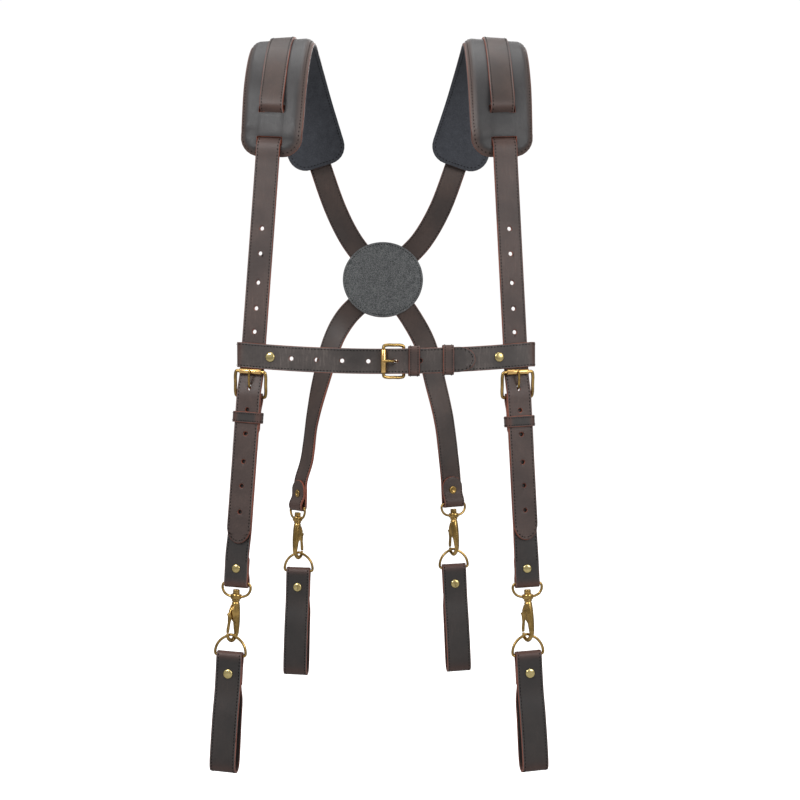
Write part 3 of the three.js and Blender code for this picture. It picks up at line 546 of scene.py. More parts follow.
for side in SIDES:
    route = pads[side]
    low_slot = [route.nearest(stop(front[side], -1, -RIDE, up)[0]) for up in (-139, -129)]
    high_slot = [route.nearest(stop(front[side], -1, -RIDE, up)[0]) for up in (-101, -91)]
    rear_slots = [[route.reach(t) for t in pair] for pair in ((0.836, 0.866), (0.925, 0.952))]
    inside = from_edge(route.length, PAD_WIDTH, PAD_CORNER)

    def crowned(s, v, inside=inside, low=low_slot, high=high_slot, rear=rear_slots):
        full = PAD_OUT - PAD_LEATHER / 2 - 3.2
        height = 3.2 + full * eased(inside(s, v) / 8)
        over = eased((17.5 - np.abs(v)) / 5)
        bridge = eased((s - low[1] + 2) / 4) * eased((high[0] + 2 - s) / 4)
        bridge = np.maximum(bridge, eased((s - rear[0][1] + 2) / 4) * eased((rear[1][0] + 2 - s) / 4))
        return height + 0.9 * over * bridge

    def rubbed(s, v, inside=inside):
        return 0.75 * (1 - eased((inside(s, v) - 2) / 7))

    slots = [(a, b, 15.7) for a, b in (low_slot, high_slot, *rear_slots)]
    leather = leather_piece("pad_leather_" + side, route, PAD_WIDTH, PAD_LEATHER, "harness",
                            ["pad_leather_" + side, "pad_foam_" + side], face=pad_hide,
                            start_corner=PAD_CORNER,
                            end_corner=PAD_CORNER, slots=slots, lift=crowned, step=3.5, rim=1.0, row=4.5,
                            pull=rubbed)
    seam("pad_seam_" + side, route, border(route.length, PAD_WIDTH, PAD_CORNER, 3.4, PAD_LEATHER / 2 + 0.25),
         "harness", lift=crowned)

    def drawn_in(s, v, inside=inside):
        return 0.9 + 0.5 * eased(1 - inside(s, v) / 7)

    leather_piece("pad_lining_" + side, route, PAD_WIDTH, LINING, "harness", ["pad_lining_" + side],
                  face=lining_suede, edge=lining_suede, start_corner=PAD_CORNER, end_corner=PAD_CORNER,
                  lift=drawn_in, step=6)
    seam("lining_seam_" + side, route, border(route.length, PAD_WIDTH, PAD_CORNER, 4.2, -LINING / 2 - 0.05),
         "harness", lift=drawn_in, pitch=4.2)

# ---------------------------------------------------------------------------------------------
# Back straps. Each starts under the pad's front bridge, runs over the shoulder on top of the pad,
# dives under the rear bridge, crosses its partner between the shoulder blades and folds round the
# eye of the opposite hanger, where a rivet closes it.

HANGERS = {
    "front_left": {"at": (-176.4, -114, -664.8), "yaw": -14, "hook": 44, "ring": -12, "face": -1, "lean": 3},
    "front_right": {"at": (172, -114, -664.8), "yaw": 8, "hook": -44, "ring": 12, "face": -1, "lean": -3},
    "back_left": {"at": (-118, 112, -588.8), "yaw": -54, "hook": 228, "ring": -8, "face": 1, "lean": 1.4},
    "back_right": {"at": (91, 112, -584), "yaw": 26, "hook": -48, "ring": 8, "face": 1, "lean": -2.6},
}
BEND = 3.8
GAP = 0.3
ends = {name: frame_at(its["at"], its["yaw"], its["lean"]) for name, its in HANGERS.items()}


def half_turn(near, out, up, radius, start=180, over=1):
    """Five stops round a bar, over it or, where over is -1, under it."""
    angles = (180, 135, 90, 45, 0) if start else (0, 45, 90, 135, 180)
    turns = [(math.cos(math.radians(a)), math.sin(math.radians(a))) for a in angles]
    return [near(out + radius * cos, up + over * radius * sin) for cos, sin in turns]


def fold_stops(name, flip, flap=36):
    """The stops of a strap that comes down, folds under an eye's bar and returns."""
    face = HANGERS[name]["face"]

    def near(out, up):
        return stop(ends[name], face, out, up, 0, flip)

    turn = half_turn(near, 0, 0, BEND, start=0, over=-1)
    back = [near(BEND - STRAP_THICK - GAP, up) for up in (14, 24, flap)]
    return [near(BEND, 34), near(BEND, 16), near(BEND, 4), *turn, near(-BEND, 4), *back]


CROSSING = {
    "left": [
        (-66.9, 113, -189), (-46.7, 113, -229), (-25, 112.6, -258), (-3.5, 112.4, -283), (18, 112.6, -311),
        (36, 113, -337), (53.7, 113, -371), (67.9, 113, -425), (78.6, 113, -472), (85.4, 113, -526),
    ],
    "right": [
        (72.6, 114, -189), (48, 116, -231), (22, 116.2, -258), (-3.5, 116.2, -283), (-29, 116.2, -309),
        (-52, 116, -332), (-69, 114, -361), (-86.5, 113, -418), (-98.6, 113, -472), (-106, 113, -526),
    ],
}
back_hide = hide("back strap leather", (64, 49, 43), (48, 37, 33), (86, 68, 60), 0.4)
for side in SIDES:
    pad = pads[side]

    def on_pad(t, out):
        at, across, up = pad.share(t)
        return Vector(at + up * out), Vector(across)

    line = [stop(front[side], -1, -UNDER, up, 0, -1) for up in (-111, -101)]
    line.append(stop(front[side], -1, 0, -92, 0, -1))
    line += [on_pad(t, RIDE) for t in (0.28, 0.36, 0.44, 0.52, 0.6, 0.68, 0.76, 0.83)]
    line += [on_pad(t, RIDE - UNDER) for t in (0.87, 0.895, 0.92)]
    line += [on_pad(t, RIDE) for t in (0.96, 1)]
    end = "back_right" if side == "left" else "back_left"
    for i, at in enumerate(CROSSING[side]):
        turn = math.radians(HANGERS[end]["yaw"] * min(max((i - 5) / 3, 0), 1))
        line.append((Vector(at), Vector((-math.cos(turn), -math.sin(turn), 0))))
    route = Route(line + fold_stops(end, -1))
    leather_piece("back_strap_from_" + side, route, LOWER_WIDTH, STRAP_THICK, "harness",
                  ["back_strap_from_" + side], face=back_hide, end_corner=14, step=3)
    rows = edge_lines(8, route.length - 20, LOWER_WIDTH, STRAP_THICK)
    rows += edge_lines(8, route.length - 75, LOWER_WIDTH, STRAP_THICK, face=-1)
    seam("back_strap_seam_" + side, route, rows, "harness")

# ---------------------------------------------------------------------------------------------
# Patch. Two discs, suede towards the back and leather outside, sewn together round the crossing
# of the two straps, whose shape shows faintly through the suede.

PATCH = {"width": 108, "height": 101, "up": -283, "across": -3.5}
PATCH_STITCHES = 84
values = {"Dark nap": srgb(44, 46, 49), "Light nap": srgb(130, 132, 132), "Speck": 0.75}
patch_suede = finished("patch suede", SUEDE, values, bump=0.5, depth=0.001, Sheen_Weight=0.15)
for name, y, thick, face, way, material, body_slot in (
    ("patch_suede", 109.2, 1.6, -1, 1.2, patch_suede, "suede"),
    ("patch_leather", 119.6, 2.4, 1, -1.6, brown_hide, "brown_leather"),
):
    bm = bmesh.new()
    bmesh.ops.create_circle(bm, cap_ends=True, segments=96, radius=1)
    inner = bm.faces[:]
    for step in range(11):
        bmesh.ops.inset_region(bm, faces=inner, thickness=0.09, use_even_offset=True)
    bmesh.ops.scale(bm, verts=bm.verts, vec=(PATCH["width"] / 2, PATCH["height"] / 2, 1))
    raise_sheet(bm, bm.faces[:], (0, 0, thick))
    bmesh.ops.recalc_face_normals(bm, faces=bm.faces)
    for f in bm.faces:
        f.material_index = 1 if abs(f.normal.z) < 0.5 else 0
        f.smooth = True
    rims = [e for e in bm.edges if len({f.material_index for f in e.link_faces}) == 2]
    bmesh.ops.bevel(bm, geom=rims, offset=0.5, segments=2, profile=0.5, affect="EDGES", material=1)
    for v in bm.verts:
        x, z = v.co.x, v.co.y
        radius = math.hypot(x / (PATCH["width"] / 2), z / (PATCH["height"] / 2))
        drawn = way * float(eased(np.array((radius - 0.72) / 0.28)))
        slant = min(abs(x * 0.79 + z * 0.61), abs(x * 0.79 - z * 0.61))
        under = float(eased(np.array((17 - slant) / 4))) * (1 - float(eased(np.array((radius - 0.7) / 0.2))))
        relief = -way * 0.35 * under
        v.co = Vector((x + PATCH["across"], y + (v.co.z - thick / 2) + drawn + relief, z + PATCH["up"])) * MM
    bmesh.ops.recalc_face_normals(bm, faces=bm.faces)
    shown(bm, name, [material, material if name == "patch_suede" else raw_edge], "harness", [name])
    bm = bmesh.new()
    for i in range(PATCH_STITCHES):
        angle = 2 * math.pi * (i + 0.5) / PATCH_STITCHES
        x, z = math.cos(angle) * (PATCH["width"] / 2 - 3), math.sin(angle) * (PATCH["height"] / 2 - 3)
        at = Vector((x + PATCH["across"], y + face * (thick / 2 + 0.05) + way * 0.9, z + PATCH["up"])) * MM
        turn = Matrix.Rotation(-angle + math.pi / 2, 4, "Y")
        grow = Matrix.Diagonal((0.0014, 0.00034, 0.00042, 1))
        bmesh.ops.create_icosphere(bm, subdivisions=1, radius=1, matrix=Matrix.Translation(at) @ turn @ grow)
    shown(bm, name + "_seam", [thread], "harness")

# ---------------------------------------------------------------------------------------------
# Buckles. Three roller buckles of antique brass: a bent wire frame, a loose tube that the strap
# slides over, and a prong whose eye turns on the heel bar.


def make_brass_group():
    """Antique brass: yellow where it is rubbed, brown in the low places."""
    tree, given, where = start_finish("Antique brass", ("Bright", "Aged"), {"Ageing": 0.5})
    low = ramp(tree, noise(tree, where, 90, 2), [(0.38, 1), (0.62, 0)])
    aged = times(tree, low, given["Ageing"])
    tone = mix(tree, aged, given["Bright"], given["Aged"])
    rough = add(tree, "ShaderNodeMapRange", {"Value": aged, "To Min": 0.2, "To Max": 0.34}).outputs[0]
    return end_finish(tree, tone, rough, noise(tree, where, 1100, 2))


BRASS = make_brass_group()


def brass(name, bright, aged, ageing):
    values = {"Bright": srgb(*bright), "Aged": srgb(*aged), "Ageing": ageing}
    return finished(name, BRASS, values, bump=0.02, depth=0.0001, Metallic=1.0)


antique_brass = brass("antique brass", (190, 156, 94), (112, 90, 50), 0.7)
roller_brass = brass("bright brass", (240, 200, 132), (214, 164, 92), 0.4)
rivet_brass = brass("pale brass", (214, 196, 138), (164, 142, 88), 0.5)


def wire(name, points, place, body, replaced, radius=1.9, radii=None, closed=True, steps=8):
    """A bent wire or rod through points, in millimetres, with its ends capped."""
    line = smooth_line([(*p, 0) if len(p) == 2 else p for p in points], steps, closed)
    sizes = smooth_line([(r, 0, 0) for r in radii], steps)[:, 0] if radii else np.full(len(line), radius)
    curve = bpy.data.curves.new(name, "CURVE")
    curve.dimensions = "3D"
    curve.bevel_depth = MM
    curve.bevel_resolution = 5
    curve.use_fill_caps = True
    spline = curve.splines.new("POLY")
    spline.points.add(len(line) - 1)
    spline.use_cyclic_u = closed
    for point, at, size in zip(spline.points, line, sizes):
        point.co = (*(place @ Vector(at) * MM), 1)
        point.radius = size
    holder = bpy.data.objects.new(name, curve)
    bpy.context.scene.collection.objects.link(holder)
    made = bpy.data.meshes.new_from_object(holder.evaluated_get(bpy.context.evaluated_depsgraph_get()))
    bm = bmesh.new()
    bm.from_mesh(made)
    bmesh.ops.remove_doubles(bm, verts=bm.verts, dist=1e-6)
    bpy.data.objects.remove(holder)
    bpy.data.meshes.remove(made)
    bpy.data.curves.remove(curve)
    for f in bm.faces:
        f.smooth = True
    return shown(bm, name, [antique_brass], body, replaced)


def turned(name, profile, place, axis, body, replaced=(), material=None, steps=32, ease=0.2,
           closed=False):
    """A piece turned on a lathe: (radius, height) points spun about an axis, with its corners eased."""
    bm = bmesh.new()
    verts = [bm.verts.new((r, 0, h)) for r, h in profile]
    edges = [bm.edges.new(pair) for pair in zip(verts, verts[1:])]
    if closed:
        edges.append(bm.edges.new((verts[-1], verts[0])))
    bmesh.ops.spin(bm, geom=verts + edges, cent=(0, 0, 0), axis=(0, 0, 1), angle=2 * math.pi, steps=steps,
                   use_merge=True)
    bmesh.ops.remove_doubles(bm, verts=bm.verts, dist=1e-4)
    bmesh.ops.recalc_face_normals(bm, faces=bm.faces)
    sharp = [e for e in bm.edges if len(e.link_faces) == 2 and e.calc_face_angle() > math.radians(38)]
    bmesh.ops.bevel(bm, geom=sharp, offset=ease, segments=2, profile=0.5, affect="EDGES", material=-1)
    turn = Vector((0, 0, 1)).rotation_difference(Vector(axis)).to_matrix().to_4x4()
    bmesh.ops.transform(bm, verts=bm.verts, matrix=place @ turn)
    bmesh.ops.scale(bm, verts=bm.verts, vec=(MM, MM, MM))
    for f in bm.faces:
        f.smooth = True
    return shown(bm, name, [material or antique_brass], body, replaced)


HEEL_OUT = -2
ROLLER_OUT = 5
FRAME_WIDTH = 38.2
HEEL_DROP = 30  # from a front buckle's roller to its heel bar


def buckle(name, place, drop, body):
    """A buckle in a frame whose Z runs from the heel bar to the roller and whose -Y faces outwards."""
    tilt, reach = math.atan2(ROLLER_OUT - HEEL_OUT, drop), math.hypot(drop, ROLLER_OUT - HEEL_OUT)
    heel = place @ Matrix.Translation((0, -HEEL_OUT, -drop)) @ Matrix.Rotation(tilt, 4, "X")
    half = FRAME_WIDTH / 2
    side_points = [(0, 0), (half - 5, 0), (half - 1.2, 0.6), (half, 5), (half, reach / 2), (half, reach - 5),
                   (half - 1.2, reach - 0.6), (half - 5, reach), (0, reach)]
    outline = side_points + [(-x, z) for x, z in side_points[-2:0:-1]]
    wire(name + "_frame", [(x, 0, z) for x, z in outline], heel, body, [name + "_frame"],
         radius=2.0)
    tube = [(2.4, -13.5), (3.3, -13.5), (3.3, 13.5), (2.4, 13.5)]
    turned(name + "_roller", tube, heel @ Matrix.Translation((0, 0, reach)), (1, 0, 0), name + "_roller",
           [name + "_roller"], roller_brass, closed=True)
    lift = 5.3
    tongue = [(0, 1.4, 3), (0, 1.2, 8.6), (0, -3.6, 12.6), (0, -lift - 0.3, 18.6), (0, -lift, reach - 0.5),
              (0, -lift + 0.6, reach + 3.4)]
    wire(name + "_prong", tongue, heel, name + "_prong", [name + "_prong"], closed=False,
         radii=[1.4, 1.5, 1.5, 1.45, 1.4, 0.8])
    turned(name + "_prong_eye", [(2.3, -2.4), (3.4, -2.4), (3.4, 2.4), (2.3, 2.4)], heel, (1, 0, 0),
           name + "_prong",
           closed=True)


for side in SIDES:
    buckle("buckle_" + side, front[side] @ Matrix.Translation((0, 0, ROLLER_UP)), HEEL_DROP, "harness")

# ---------------------------------------------------------------------------------------------
# Rivets. Domed caps in front and a rolled tube behind, pale brass, one through each folded end.

SHANK = 1.6


def rivet(name, place, front_at, back_at, body, cap=5.8, hollow=False):
    """A rivet along a frame's Y axis: a domed cap in front and a rolled tail behind."""
    dome = [(0, 1.75), (0.5, 1.7), (0.82, 1.35), (0.97, 0.7), (1, 0.1), (0.95, 0)]
    profile = [(cap * r, front_at - rise) for r, rise in dome] + [(SHANK, front_at), (SHANK, back_at)]
    tail = 5.2 if hollow else cap * 0.68
    profile += [(tail * 0.92, back_at), (tail, back_at + 0.45), (tail * 0.82, back_at + 0.95),
                (tail * 0.55, back_at + 0.8), (tail * 0.46, back_at - 0.1), (0, back_at - 0.2)]
    brass = antique_brass if hollow else rivet_brass
    turned(name, profile, place, (0, 1, 0), body, [name], brass)


for name, its in HANGERS.items():
    turn = Matrix.Rotation(math.pi, 4, "Z") if its["face"] > 0 else Matrix.Identity(4)
    place = ends[name] @ turn @ Matrix.Translation((0, 0, 18))
    cap_at, tail_at = -(BEND + STRAP_THICK / 2 + GAP), 1.5 * STRAP_THICK + 2 * GAP - BEND
    rivet(name + "_end_rivet", place, cap_at, tail_at, "harness", 5.2, hollow=its["face"] > 0)

# ---------------------------------------------------------------------------------------------
# Lower front straps. Folded over the buckle's heel bar and round the hanger's eye, darker leather.

FOLD_RADIUS = 3.7
MAIN_OUT = HEEL_OUT + FOLD_RADIUS
dark_hide = hide("dark strap leather", (44, 38, 36), (33, 29, 28), (66, 54, 49), 0.4, pulled=(90, 58, 48))
for side, its in SIDES.items():
    heel_up = ROLLER_UP - HEEL_DROP

    def near(out, up):
        return stop(front[side], -1, out, up, 0, -1)

    back = MAIN_OUT - STRAP_THICK - GAP
    line = [near(back, heel_up - below) for below in (46, 30, 16)]
    line.append(near(HEEL_OUT - FOLD_RADIUS, heel_up - 5))
    line += half_turn(near, HEEL_OUT, heel_up, FOLD_RADIUS)
    line += [near(MAIN_OUT, up) for up in (heel_up - 6, -470, -520, -570, -605)]
    route = Route(line + fold_stops("front_" + side, -1))
    middle = route.nearest(near(HEEL_OUT, heel_up + FOLD_RADIUS)[0])
    leather_piece("lower_strap_" + side, route, LOWER_WIDTH, STRAP_THICK, "harness",
                  ["lower_strap_" + side], face=dark_hide, start_corner=8, end_corner=8, step=3,
                  slots=[(middle - 7.5, middle + 7.5, 3.2)])
    rows = edge_lines(middle + 12, route.length - 12, LOWER_WIDTH, STRAP_THICK)
    rows += edge_lines(middle + 60, route.length - 75, LOWER_WIDTH, STRAP_THICK, face=-1)
    seam("lower_strap_seam_" + side, route, rows, "harness")

# ---------------------------------------------------------------------------------------------
# Keepers. Bands of leather round two straps, sewn along both edges; they slide by hand.


def keeper(name, place, out_front, out_back, up, body, face, long=13, wall=1.8):
    """A band round the strap, in a frame whose Z runs along it and whose -Y faces outwards."""
    half = STRAP_WIDTH / 2 + 1.9
    low, high = -(out_front + 0.9), -(out_back - 0.9)
    points = [(2, high), (9, high), (half - 2.5, high), (half - 0.4, high - 0.6), (half, high - 3),
              (half, low + 3),
              (half - 0.4, low + 0.6), (half - 2.5, low), (8, low)]
    ring = points + [(0, low)] + [(-x, y) for x, y in points[::-1]]
    line = [(place @ Vector((x, y, up)), (place.to_3x3() @ Vector((0, 0, -1))).normalized()) for x, y in ring]
    route = Route(line)
    leather_piece(name, route, long, wall, body, [name], face=face, step=2.5, rim=0.6)
    across = long / 2 - 2.3
    rows = [(6, route.length - 6, e * across, e * across, wall / 2 + 0.2) for e in (-1, 1)]
    seam(name + "_seam", route, rows, body, pitch=2.9, size=(0.95, 0.5, 0.42))


for side, its in SIDES.items():
    back = MAIN_OUT - STRAP_THICK - GAP
    keeper("keeper_" + side, front[side], TAIL_OUT + STRAP_THICK / 2 + GAP, back - STRAP_THICK / 2 - GAP,
           its["keeper"], "keeper_" + side, dark_hide)

# ---------------------------------------------------------------------------------------------
# Chest strap. A punched half and a buckle half, each folded round a front strap and riveted, with
# a fixed and a sliding keeper. The whole strap can be pushed up and down the front straps.

CHEST_UP = -391.2
CHEST_RADIUS = 650
CHEST_CLEAR = 0.9
CHEST_HEEL_DROP = 24
CHEST_PITCH = 30.4
CHEST_HOLES = 7
CHEST_HOLE_IN_USE = 4
CHEST_Y = FRONT_Y - STRAP_THICK - CHEST_CLEAR
CHEST_CENTRE = CHEST_Y + CHEST_RADIUS * math.cos(math.radians(14))
LOOP_DEEP = STRAP_THICK + CHEST_CLEAR


def chest_frame(x):
    """A frame on the chest strap's curve, with Z towards -X and -Y outwards."""
    angle = math.asin(x / CHEST_RADIUS)
    out = Vector((math.sin(angle), -math.cos(angle), 0))
    along = Vector((-math.cos(angle), -math.sin(angle), 0))
    made = Matrix(((-out).cross(along), -out, along)).transposed().to_4x4()
    sag = 8 * (1 - (x / 165) ** 2)
    deep = CHEST_CENTRE - CHEST_RADIUS * math.cos(angle)
    return Matrix.Translation((CHEST_RADIUS * math.sin(angle), deep, CHEST_UP - sag)) @ made


def chest_stop(x, out):
    return stop(chest_frame(x), -1, out, 0)


def end_loop(sign, outer, flap):
    fold = outer - LOOP_DEEP
    line = [chest_stop(sign * flap, -STRAP_THICK - GAP), chest_stop(sign * (flap + 9), -3.5),
            chest_stop(sign * (flap + 17), -4.6)]
    line += [chest_stop(sign * x, -2 * LOOP_DEEP) for x in (flap + 23, fold - 18, fold - 3)]
    for a in (-90, -45, 0, 45, 90):
        beyond = -sign * LOOP_DEEP * math.cos(math.radians(a))
        line.append(stop(chest_frame(sign * fold), -1, LOOP_DEEP * (math.sin(math.radians(a)) - 1), beyond))
    return line + [chest_stop(sign * (fold - 3), 0)]


chest_buckle = chest_frame(12) @ Matrix.Translation((0, 0, CHEST_HEEL_DROP / 2))
# Chest strap leather: the pale grey scuff colour and heavy scuffing are partly real scuffs and partly a
# painted sheen that stands in for the highlight on the strap
chest_hide_painted_sheen = hide("chest strap leather", (72, 64, 61), (46, 40, 38), (112, 102, 97), 0.8, pulled=(84, 56, 48))


def chest_near(out, along):
    return stop(chest_buckle, -1, out, -along)


line = end_loop(-1, 176.4, 116) + [chest_stop(x, 0) for x in (-150, -130, -100, -70, -40, -18)]
line += [chest_near(0, 1), chest_near(2.2, 10), chest_near(TAIL_OUT, 20.5)]
line += [chest_stop(x, TAIL_OUT) for x in (36, 60)] + [chest_stop(x, TAIL_OUT - 0.6) for x in (86, 108)]
route = Route(line)
punched = []
for hole in range(CHEST_HOLES):
    x = -109 + hole * CHEST_PITCH
    if hole != CHEST_HOLE_IN_USE:
        punched.append((route.nearest(chest_stop(x, 0 if x < 0 else TAIL_OUT)[0]), 0, HOLE, 1))
punched.append((route.nearest(chest_near(3.4, 13.9)[0]), 0, PRONG_HOLE, 2.1))
leather_piece("chest_billet", route, STRAP_WIDTH, STRAP_THICK, "chest_strap",
              ["chest_billet"],
              face=chest_hide_painted_sheen, start_corner=8, end_corner=14.5, holes=punched, tip=1.4)
rows = edge_lines(14, route.length - 19, STRAP_WIDTH, STRAP_THICK)
rows += edge_lines(125, route.length - 19, STRAP_WIDTH, STRAP_THICK, face=-1) + tip_lines(route.length)
seam("chest_billet_seam", route, rows, "chest_strap")

back = MAIN_OUT - STRAP_THICK - GAP
heel = CHEST_HEEL_DROP
line = [chest_stop(66, back), chest_stop(52, back), chest_near(back, heel + 16)]
line.append(chest_near(HEEL_OUT - FOLD_RADIUS, heel + 5))
line += half_turn(chest_near, HEEL_OUT, heel, FOLD_RADIUS, over=-1)
line += [chest_near(MAIN_OUT, heel + 6)] + [chest_stop(x, MAIN_OUT) for x in (45, 60)]
line += [chest_stop(86, MAIN_OUT - 0.6)] + [chest_stop(x, 0) for x in (110, 132, 152)]
line += end_loop(1, 181.6, 118)[::-1]
route = Route(line)
middle = route.nearest(chest_near(HEEL_OUT, heel - FOLD_RADIUS)[0])
leather_piece("chest_buckle_strap", route, LOWER_WIDTH, STRAP_THICK, "chest_strap",
              ["chest_buckle_strap"], face=chest_hide_painted_sheen, start_corner=8, end_corner=8, step=3,
              slots=[(middle - 7.5, middle + 7.5, 3.2)])
rows = edge_lines(middle + 12, route.length - 12, LOWER_WIDTH, STRAP_THICK)
rows += edge_lines(middle + 62, route.length - 125, LOWER_WIDTH, STRAP_THICK, face=-1)
seam("chest_buckle_strap_seam", route, rows, "chest_strap")
buckle("chest_buckle", chest_buckle, heel, "chest_strap")
stack_front = TAIL_OUT + STRAP_THICK / 2 + GAP
for kind, x, under, body in (
    ("fixed", 36, HEEL_OUT - FOLD_RADIUS - 2, "chest_strap"),
    ("free", 76, MAIN_OUT - STRAP_THICK / 2 - 1.2, "chest_free_keeper"),
):
    keeper("chest_" + kind + "_keeper", chest_frame(x), stack_front, under, 0, body, brown_hide)
for side, x in (("left", -135), ("right", 137.6)):
    rivet("chest_rivet_" + side, chest_frame(x), -1.8, 10.2, "chest_strap")

# ---------------------------------------------------------------------------------------------
# Hangers. A swivel eye, a snap hook with a sprung gate, a D-ring and a folded leather loop that a
# tool belt passes through. All cast or bent brass but the loop.

THROAT = -4.3
RING_TOP = -61.6
RING_BAR = -86
LOOP = {"width": 32, "thick": 2.8, "bottom": -225, "rivet": -108, "bend": 3.5, "open": 8}


def plate(name, points, thick, place, body, replaced=(), shift=0.0, ease=0.35):
    """A flat plate in the XZ plane, with eased edges."""
    bm = bmesh.new()
    corners = [bm.verts.new((x, shift - thick / 2, z)) for x, z in points]
    face = bmesh.ops.contextual_create(bm, geom=corners)["faces"]
    raise_sheet(bm, face, (0, thick, 0))
    bmesh.ops.recalc_face_normals(bm, faces=bm.faces)
    bmesh.ops.bevel(bm, geom=bm.edges[:], offset=ease, segments=3, profile=0.5, affect="EDGES", material=-1)
    bmesh.ops.transform(bm, verts=bm.verts, matrix=place)
    bmesh.ops.scale(bm, verts=bm.verts, vec=(MM, MM, MM))
    for f in bm.faces:
        f.smooth = True
    return shown(bm, name, [antique_brass], body, replaced)


EYE = [(0, 0), (9, 0), (14.5, 0), (17.2, -2.2), (17.6, -7), (14.6, -12.6), (9, -15.6), (4, -16), (0, -16)]
RING = [(0, RING_BAR), (10, RING_BAR), (17.6, RING_BAR), (18.9, RING_BAR + 1.6), (18.8, RING_BAR + 6),
        (16.8, RING_BAR + 12), (12.6, RING_BAR + 17.6), (6.6, RING_BAR + 21.8), (0, RING_TOP)]
SPINE = [(0.4, -24.5, 4.5), (1.2, -31, 4.7), (2.3, -43, 4.4), (3, -54, 3.6), (2.9, -61.6, 2.8),
         (-3, -68.6, 2.5),
         (-8.6, -65.6, 2.1), (-9.9, -59.8, 1.6)]
CHEEK = [(0, -25.4), (-4.6, -26), (-7.6, -33), (-5.6, -40), (0.5, -48.5), (2, -47)]
LEVER = [(-3.8, -27.9), (-6, -28), (-9.6, -35.4), (-11.9, -36.6), (-10.4, -39.4), (-9.9, -47), (-11.2, -54.4),
         (-11.2, -59.3), (-8.6, -59), (-7.2, -47.5), (-5, -38), (-3.5, -33), (-3.4, -28.6)]
STUD = [(0, -7.3), (3.4, -7.35), (4.1, -8), (4.2, -12.7), (2.2, -12.7), (2.2, -19.3), (4.9, -19.3),
        (4.9, -21.4),
        (4, -22.3), (5, -24.3), (4.2, -27), (0, -27)]
GATE_PIN = [(0, -3.7), (1, -3.7), (1, 3.7), (0, 3.7)]
COLLAR = [(2.7, -19), (6.2, -19), (6.7, -17.6), (6.7, -14.4), (6.2, -13), (2.7, -13)]
for name, its in HANGERS.items():
    hang = frame_at(its["at"], 0, its["lean"])
    eye = hang @ Matrix.Rotation(math.radians(its["yaw"]), 4, "Z")
    hook = hang @ Matrix.Rotation(math.radians(its["hook"]), 4, "Z")
    throat = Matrix.Rotation(math.radians(its["hook"]), 4, "Z") @ Vector((THROAT, 0, 0))
    ring = hang @ Matrix.Translation(throat) @ Matrix.Rotation(math.radians(its["ring"]), 4, "Z")
    whole = [(x, 0, z) for x, z in EYE + [(-x, z) for x, z in EYE[-2:0:-1]]]
    wire("eye_" + name, whole, eye, "eye_" + name, ["eye_" + name], radius=1.6)
    turned("eye_collar_" + name, COLLAR, eye, (0, 0, 1), "eye_" + name, closed=True)
    turned("hook_stud_" + name, STUD, hook, (0, 0, 1), "hook_" + name)
    wire("hook_" + name, [(x, 0, z) for x, z, r in SPINE], hook, "hook_" + name,
         ["hook_" + name],
         radii=[r for x, z, r in SPINE], closed=False)
    for y, edge in ((-2.7, "front"), (2.7, "back")):
        plate("hook_cheek_" + edge + "_" + name, CHEEK, 1.3, hook, "hook_" + name, shift=y)
    turned("hook_pin_" + name, GATE_PIN, hook @ Matrix.Translation((-4.4, 0, -30.5)), (0, 1, 0),
           "hook_" + name,
           ease=0.15, steps=16)
    plate("gate_" + name, LEVER, 3, hook, "gate_" + name, ["gate_" + name], ease=0.5)
    whole = [(x, 0, z) for x, z in RING + [(-x, z) for x, z in RING[-2:0:-1]]]
    wire("ring_" + name, whole, ring, "ring_" + name, ["ring_" + name], radius=1.7)

    bend, opened, inner = LOOP["bend"], LOOP["open"], LOOP["bend"] - LOOP["thick"] - GAP

    def near(out, up):
        return stop(ring, -1, out, up)

    line = [near(inner - LOOP["thick"] - GAP, up) for up in (-121, -112, -98)] + [near(-bend, RING_BAR - 5)]
    line += half_turn(near, 0, RING_BAR, bend)
    line += [near(bend, RING_BAR - 6), near(bend, -128), near(opened - 1, -160)]
    line += half_turn(near, 0, LOOP["bottom"] + opened, opened, start=0, over=-1)
    line += [near(-opened, -165), near(-opened + 0.4, -140), near(inner - 0.5, -122), near(inner, -108)]
    line.append(near(inner, -99))
    route = Route(line)
    leather_piece("loop_" + name, route, LOOP["width"], LOOP["thick"], "loop_" + name,
                  ["loop_" + name], face=dark_hide, step=3)
    rows = edge_lines(36, route.length - 36, LOOP["width"], LOOP["thick"], inset=2.8)
    seam("loop_seam_" + name, route, rows, "loop_" + name)
    cap_at = -(bend + LOOP["thick"] / 2 + GAP)
    tail_at = -(inner - 1.5 * LOOP["thick"] - 2 * GAP)
    rivet("loop_rivet_" + name, ring @ Matrix.Translation((0, 0, LOOP["rivet"])), cap_at, tail_at,
          "loop_" + name)

# ---------------------------------------------------------------------------------------------
# Studio: a white floor and wall behind the hanging harness, soft light from all round, and the
# camera level with its middle.

CAMERA_AT = (0.0195, -1.976, -0.445)
WHITE = 1.02  # as bright as the paper and the sky look to the camera
bpy.context.scene.view_settings.view_transform = "Standard"
camera_data = bpy.data.cameras.new("camera")
camera_data.lens = 69.8
camera_data.sensor_width = 36
camera_data.clip_end = 50
camera = bpy.data.objects.new("camera", camera_data)
camera.location = CAMERA_AT
camera.rotation_euler = (math.radians(90), 0, 0)
bpy.context.scene.collection.objects.link(camera)
bpy.context.scene.camera = camera

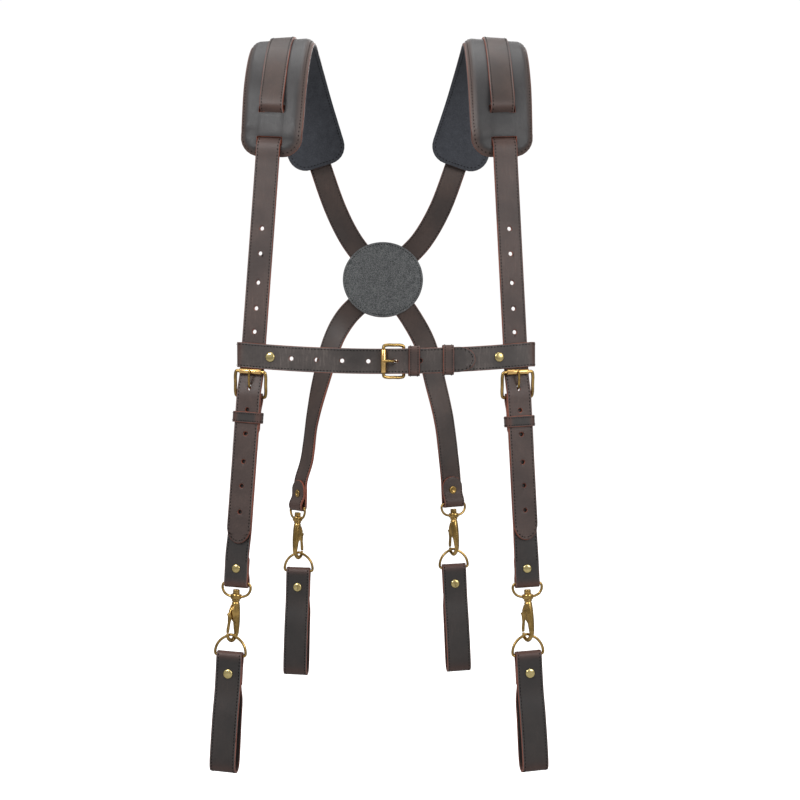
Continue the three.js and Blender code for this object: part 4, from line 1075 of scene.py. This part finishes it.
floor_mesh = bpy.data.meshes.new("floor")
bm = bmesh.new()
bmesh.ops.create_grid(bm, x_segments=1, y_segments=1, size=14)
bmesh.ops.translate(bm, verts=bm.verts, vec=(0, 0, -0.96))
bm.to_mesh(floor_mesh)
bm.free()
floor = bpy.data.objects.new("floor", floor_mesh)
paper = bpy.data.materials.new("white paper")
paper.use_nodes = True
tree = paper.node_tree
shader = tree.nodes["Principled BSDF"]
shader.inputs["Base Color"].default_value = (0.4, 0.4, 0.4, 1)
shader.inputs["Roughness"].default_value = 0.9
shader.inputs["Emission Strength"].default_value = WHITE
looked_at = add(tree, "ShaderNodeLightPath").outputs["Is Camera Ray"]
seen = add(tree, "ShaderNodeMix", {"Factor": looked_at}, data_type="RGBA")
seen.inputs[6].default_value = (0.01, 0.01, 0.01, 1)
seen.inputs[7].default_value = (1, 1, 1, 1)
tree.links.new(seen.outputs[2], shader.inputs["Emission Color"])
floor_mesh.materials.append(paper)
bpy.context.scene.collection.objects.link(floor)

world = bpy.data.worlds.new("studio")
world.use_nodes = True
tree = world.node_tree
sky = tree.nodes["Background"]
sky.inputs["Color"].default_value = (1, 1, 1, 1)
sky.inputs["Strength"].default_value = WHITE
where = add(tree, "ShaderNodeTexCoord").outputs["Generated"]
height = add(tree, "ShaderNodeSeparateXYZ", {0: where}).outputs["Z"]
height = add(tree, "ShaderNodeMapRange", {"Value": height, "From Min": -1, "From Max": 1}).outputs[0]
walls = ramp(tree, height, [(0.1, 0.06), (0.42, 0.12), (0.5, 0.5), (0.72, 0.7), (1, 0.9)])
room = add(tree, "ShaderNodeBackground", {"Color": walls, "Strength": 0.8})
rays = add(tree, "ShaderNodeLightPath")
choose = add(tree, "ShaderNodeMixShader",
             {"Fac": rays.outputs["Is Camera Ray"], 1: room.outputs[0], 2: sky.outputs[0]})
tree.links.new(choose.outputs[0], tree.nodes["World Output"].inputs["Surface"])
bpy.context.scene.world = world

for name, place, size, power in (
    ("key", (-1.3, -1.8, 0.9), 0.9, 34),
    ("fill", (1.5, -1.7, 0.3), 1.0, 20),
    ("top", (0, 0.2, 1.6), 1.2, 16),
    ("back", (0.4, 1.8, 0.4), 1.2, 14),
):
    light = bpy.data.lights.new(name, "AREA")
    light.size = size
    light.energy = power
    lamp = bpy.data.objects.new(name, light)
    lamp.location = place
    lamp.rotation_euler = (Vector((0, 0, -0.4)) - Vector(place)).to_track_quat("-Z", "Y").to_euler()
    bpy.context.scene.collection.objects.link(lamp)
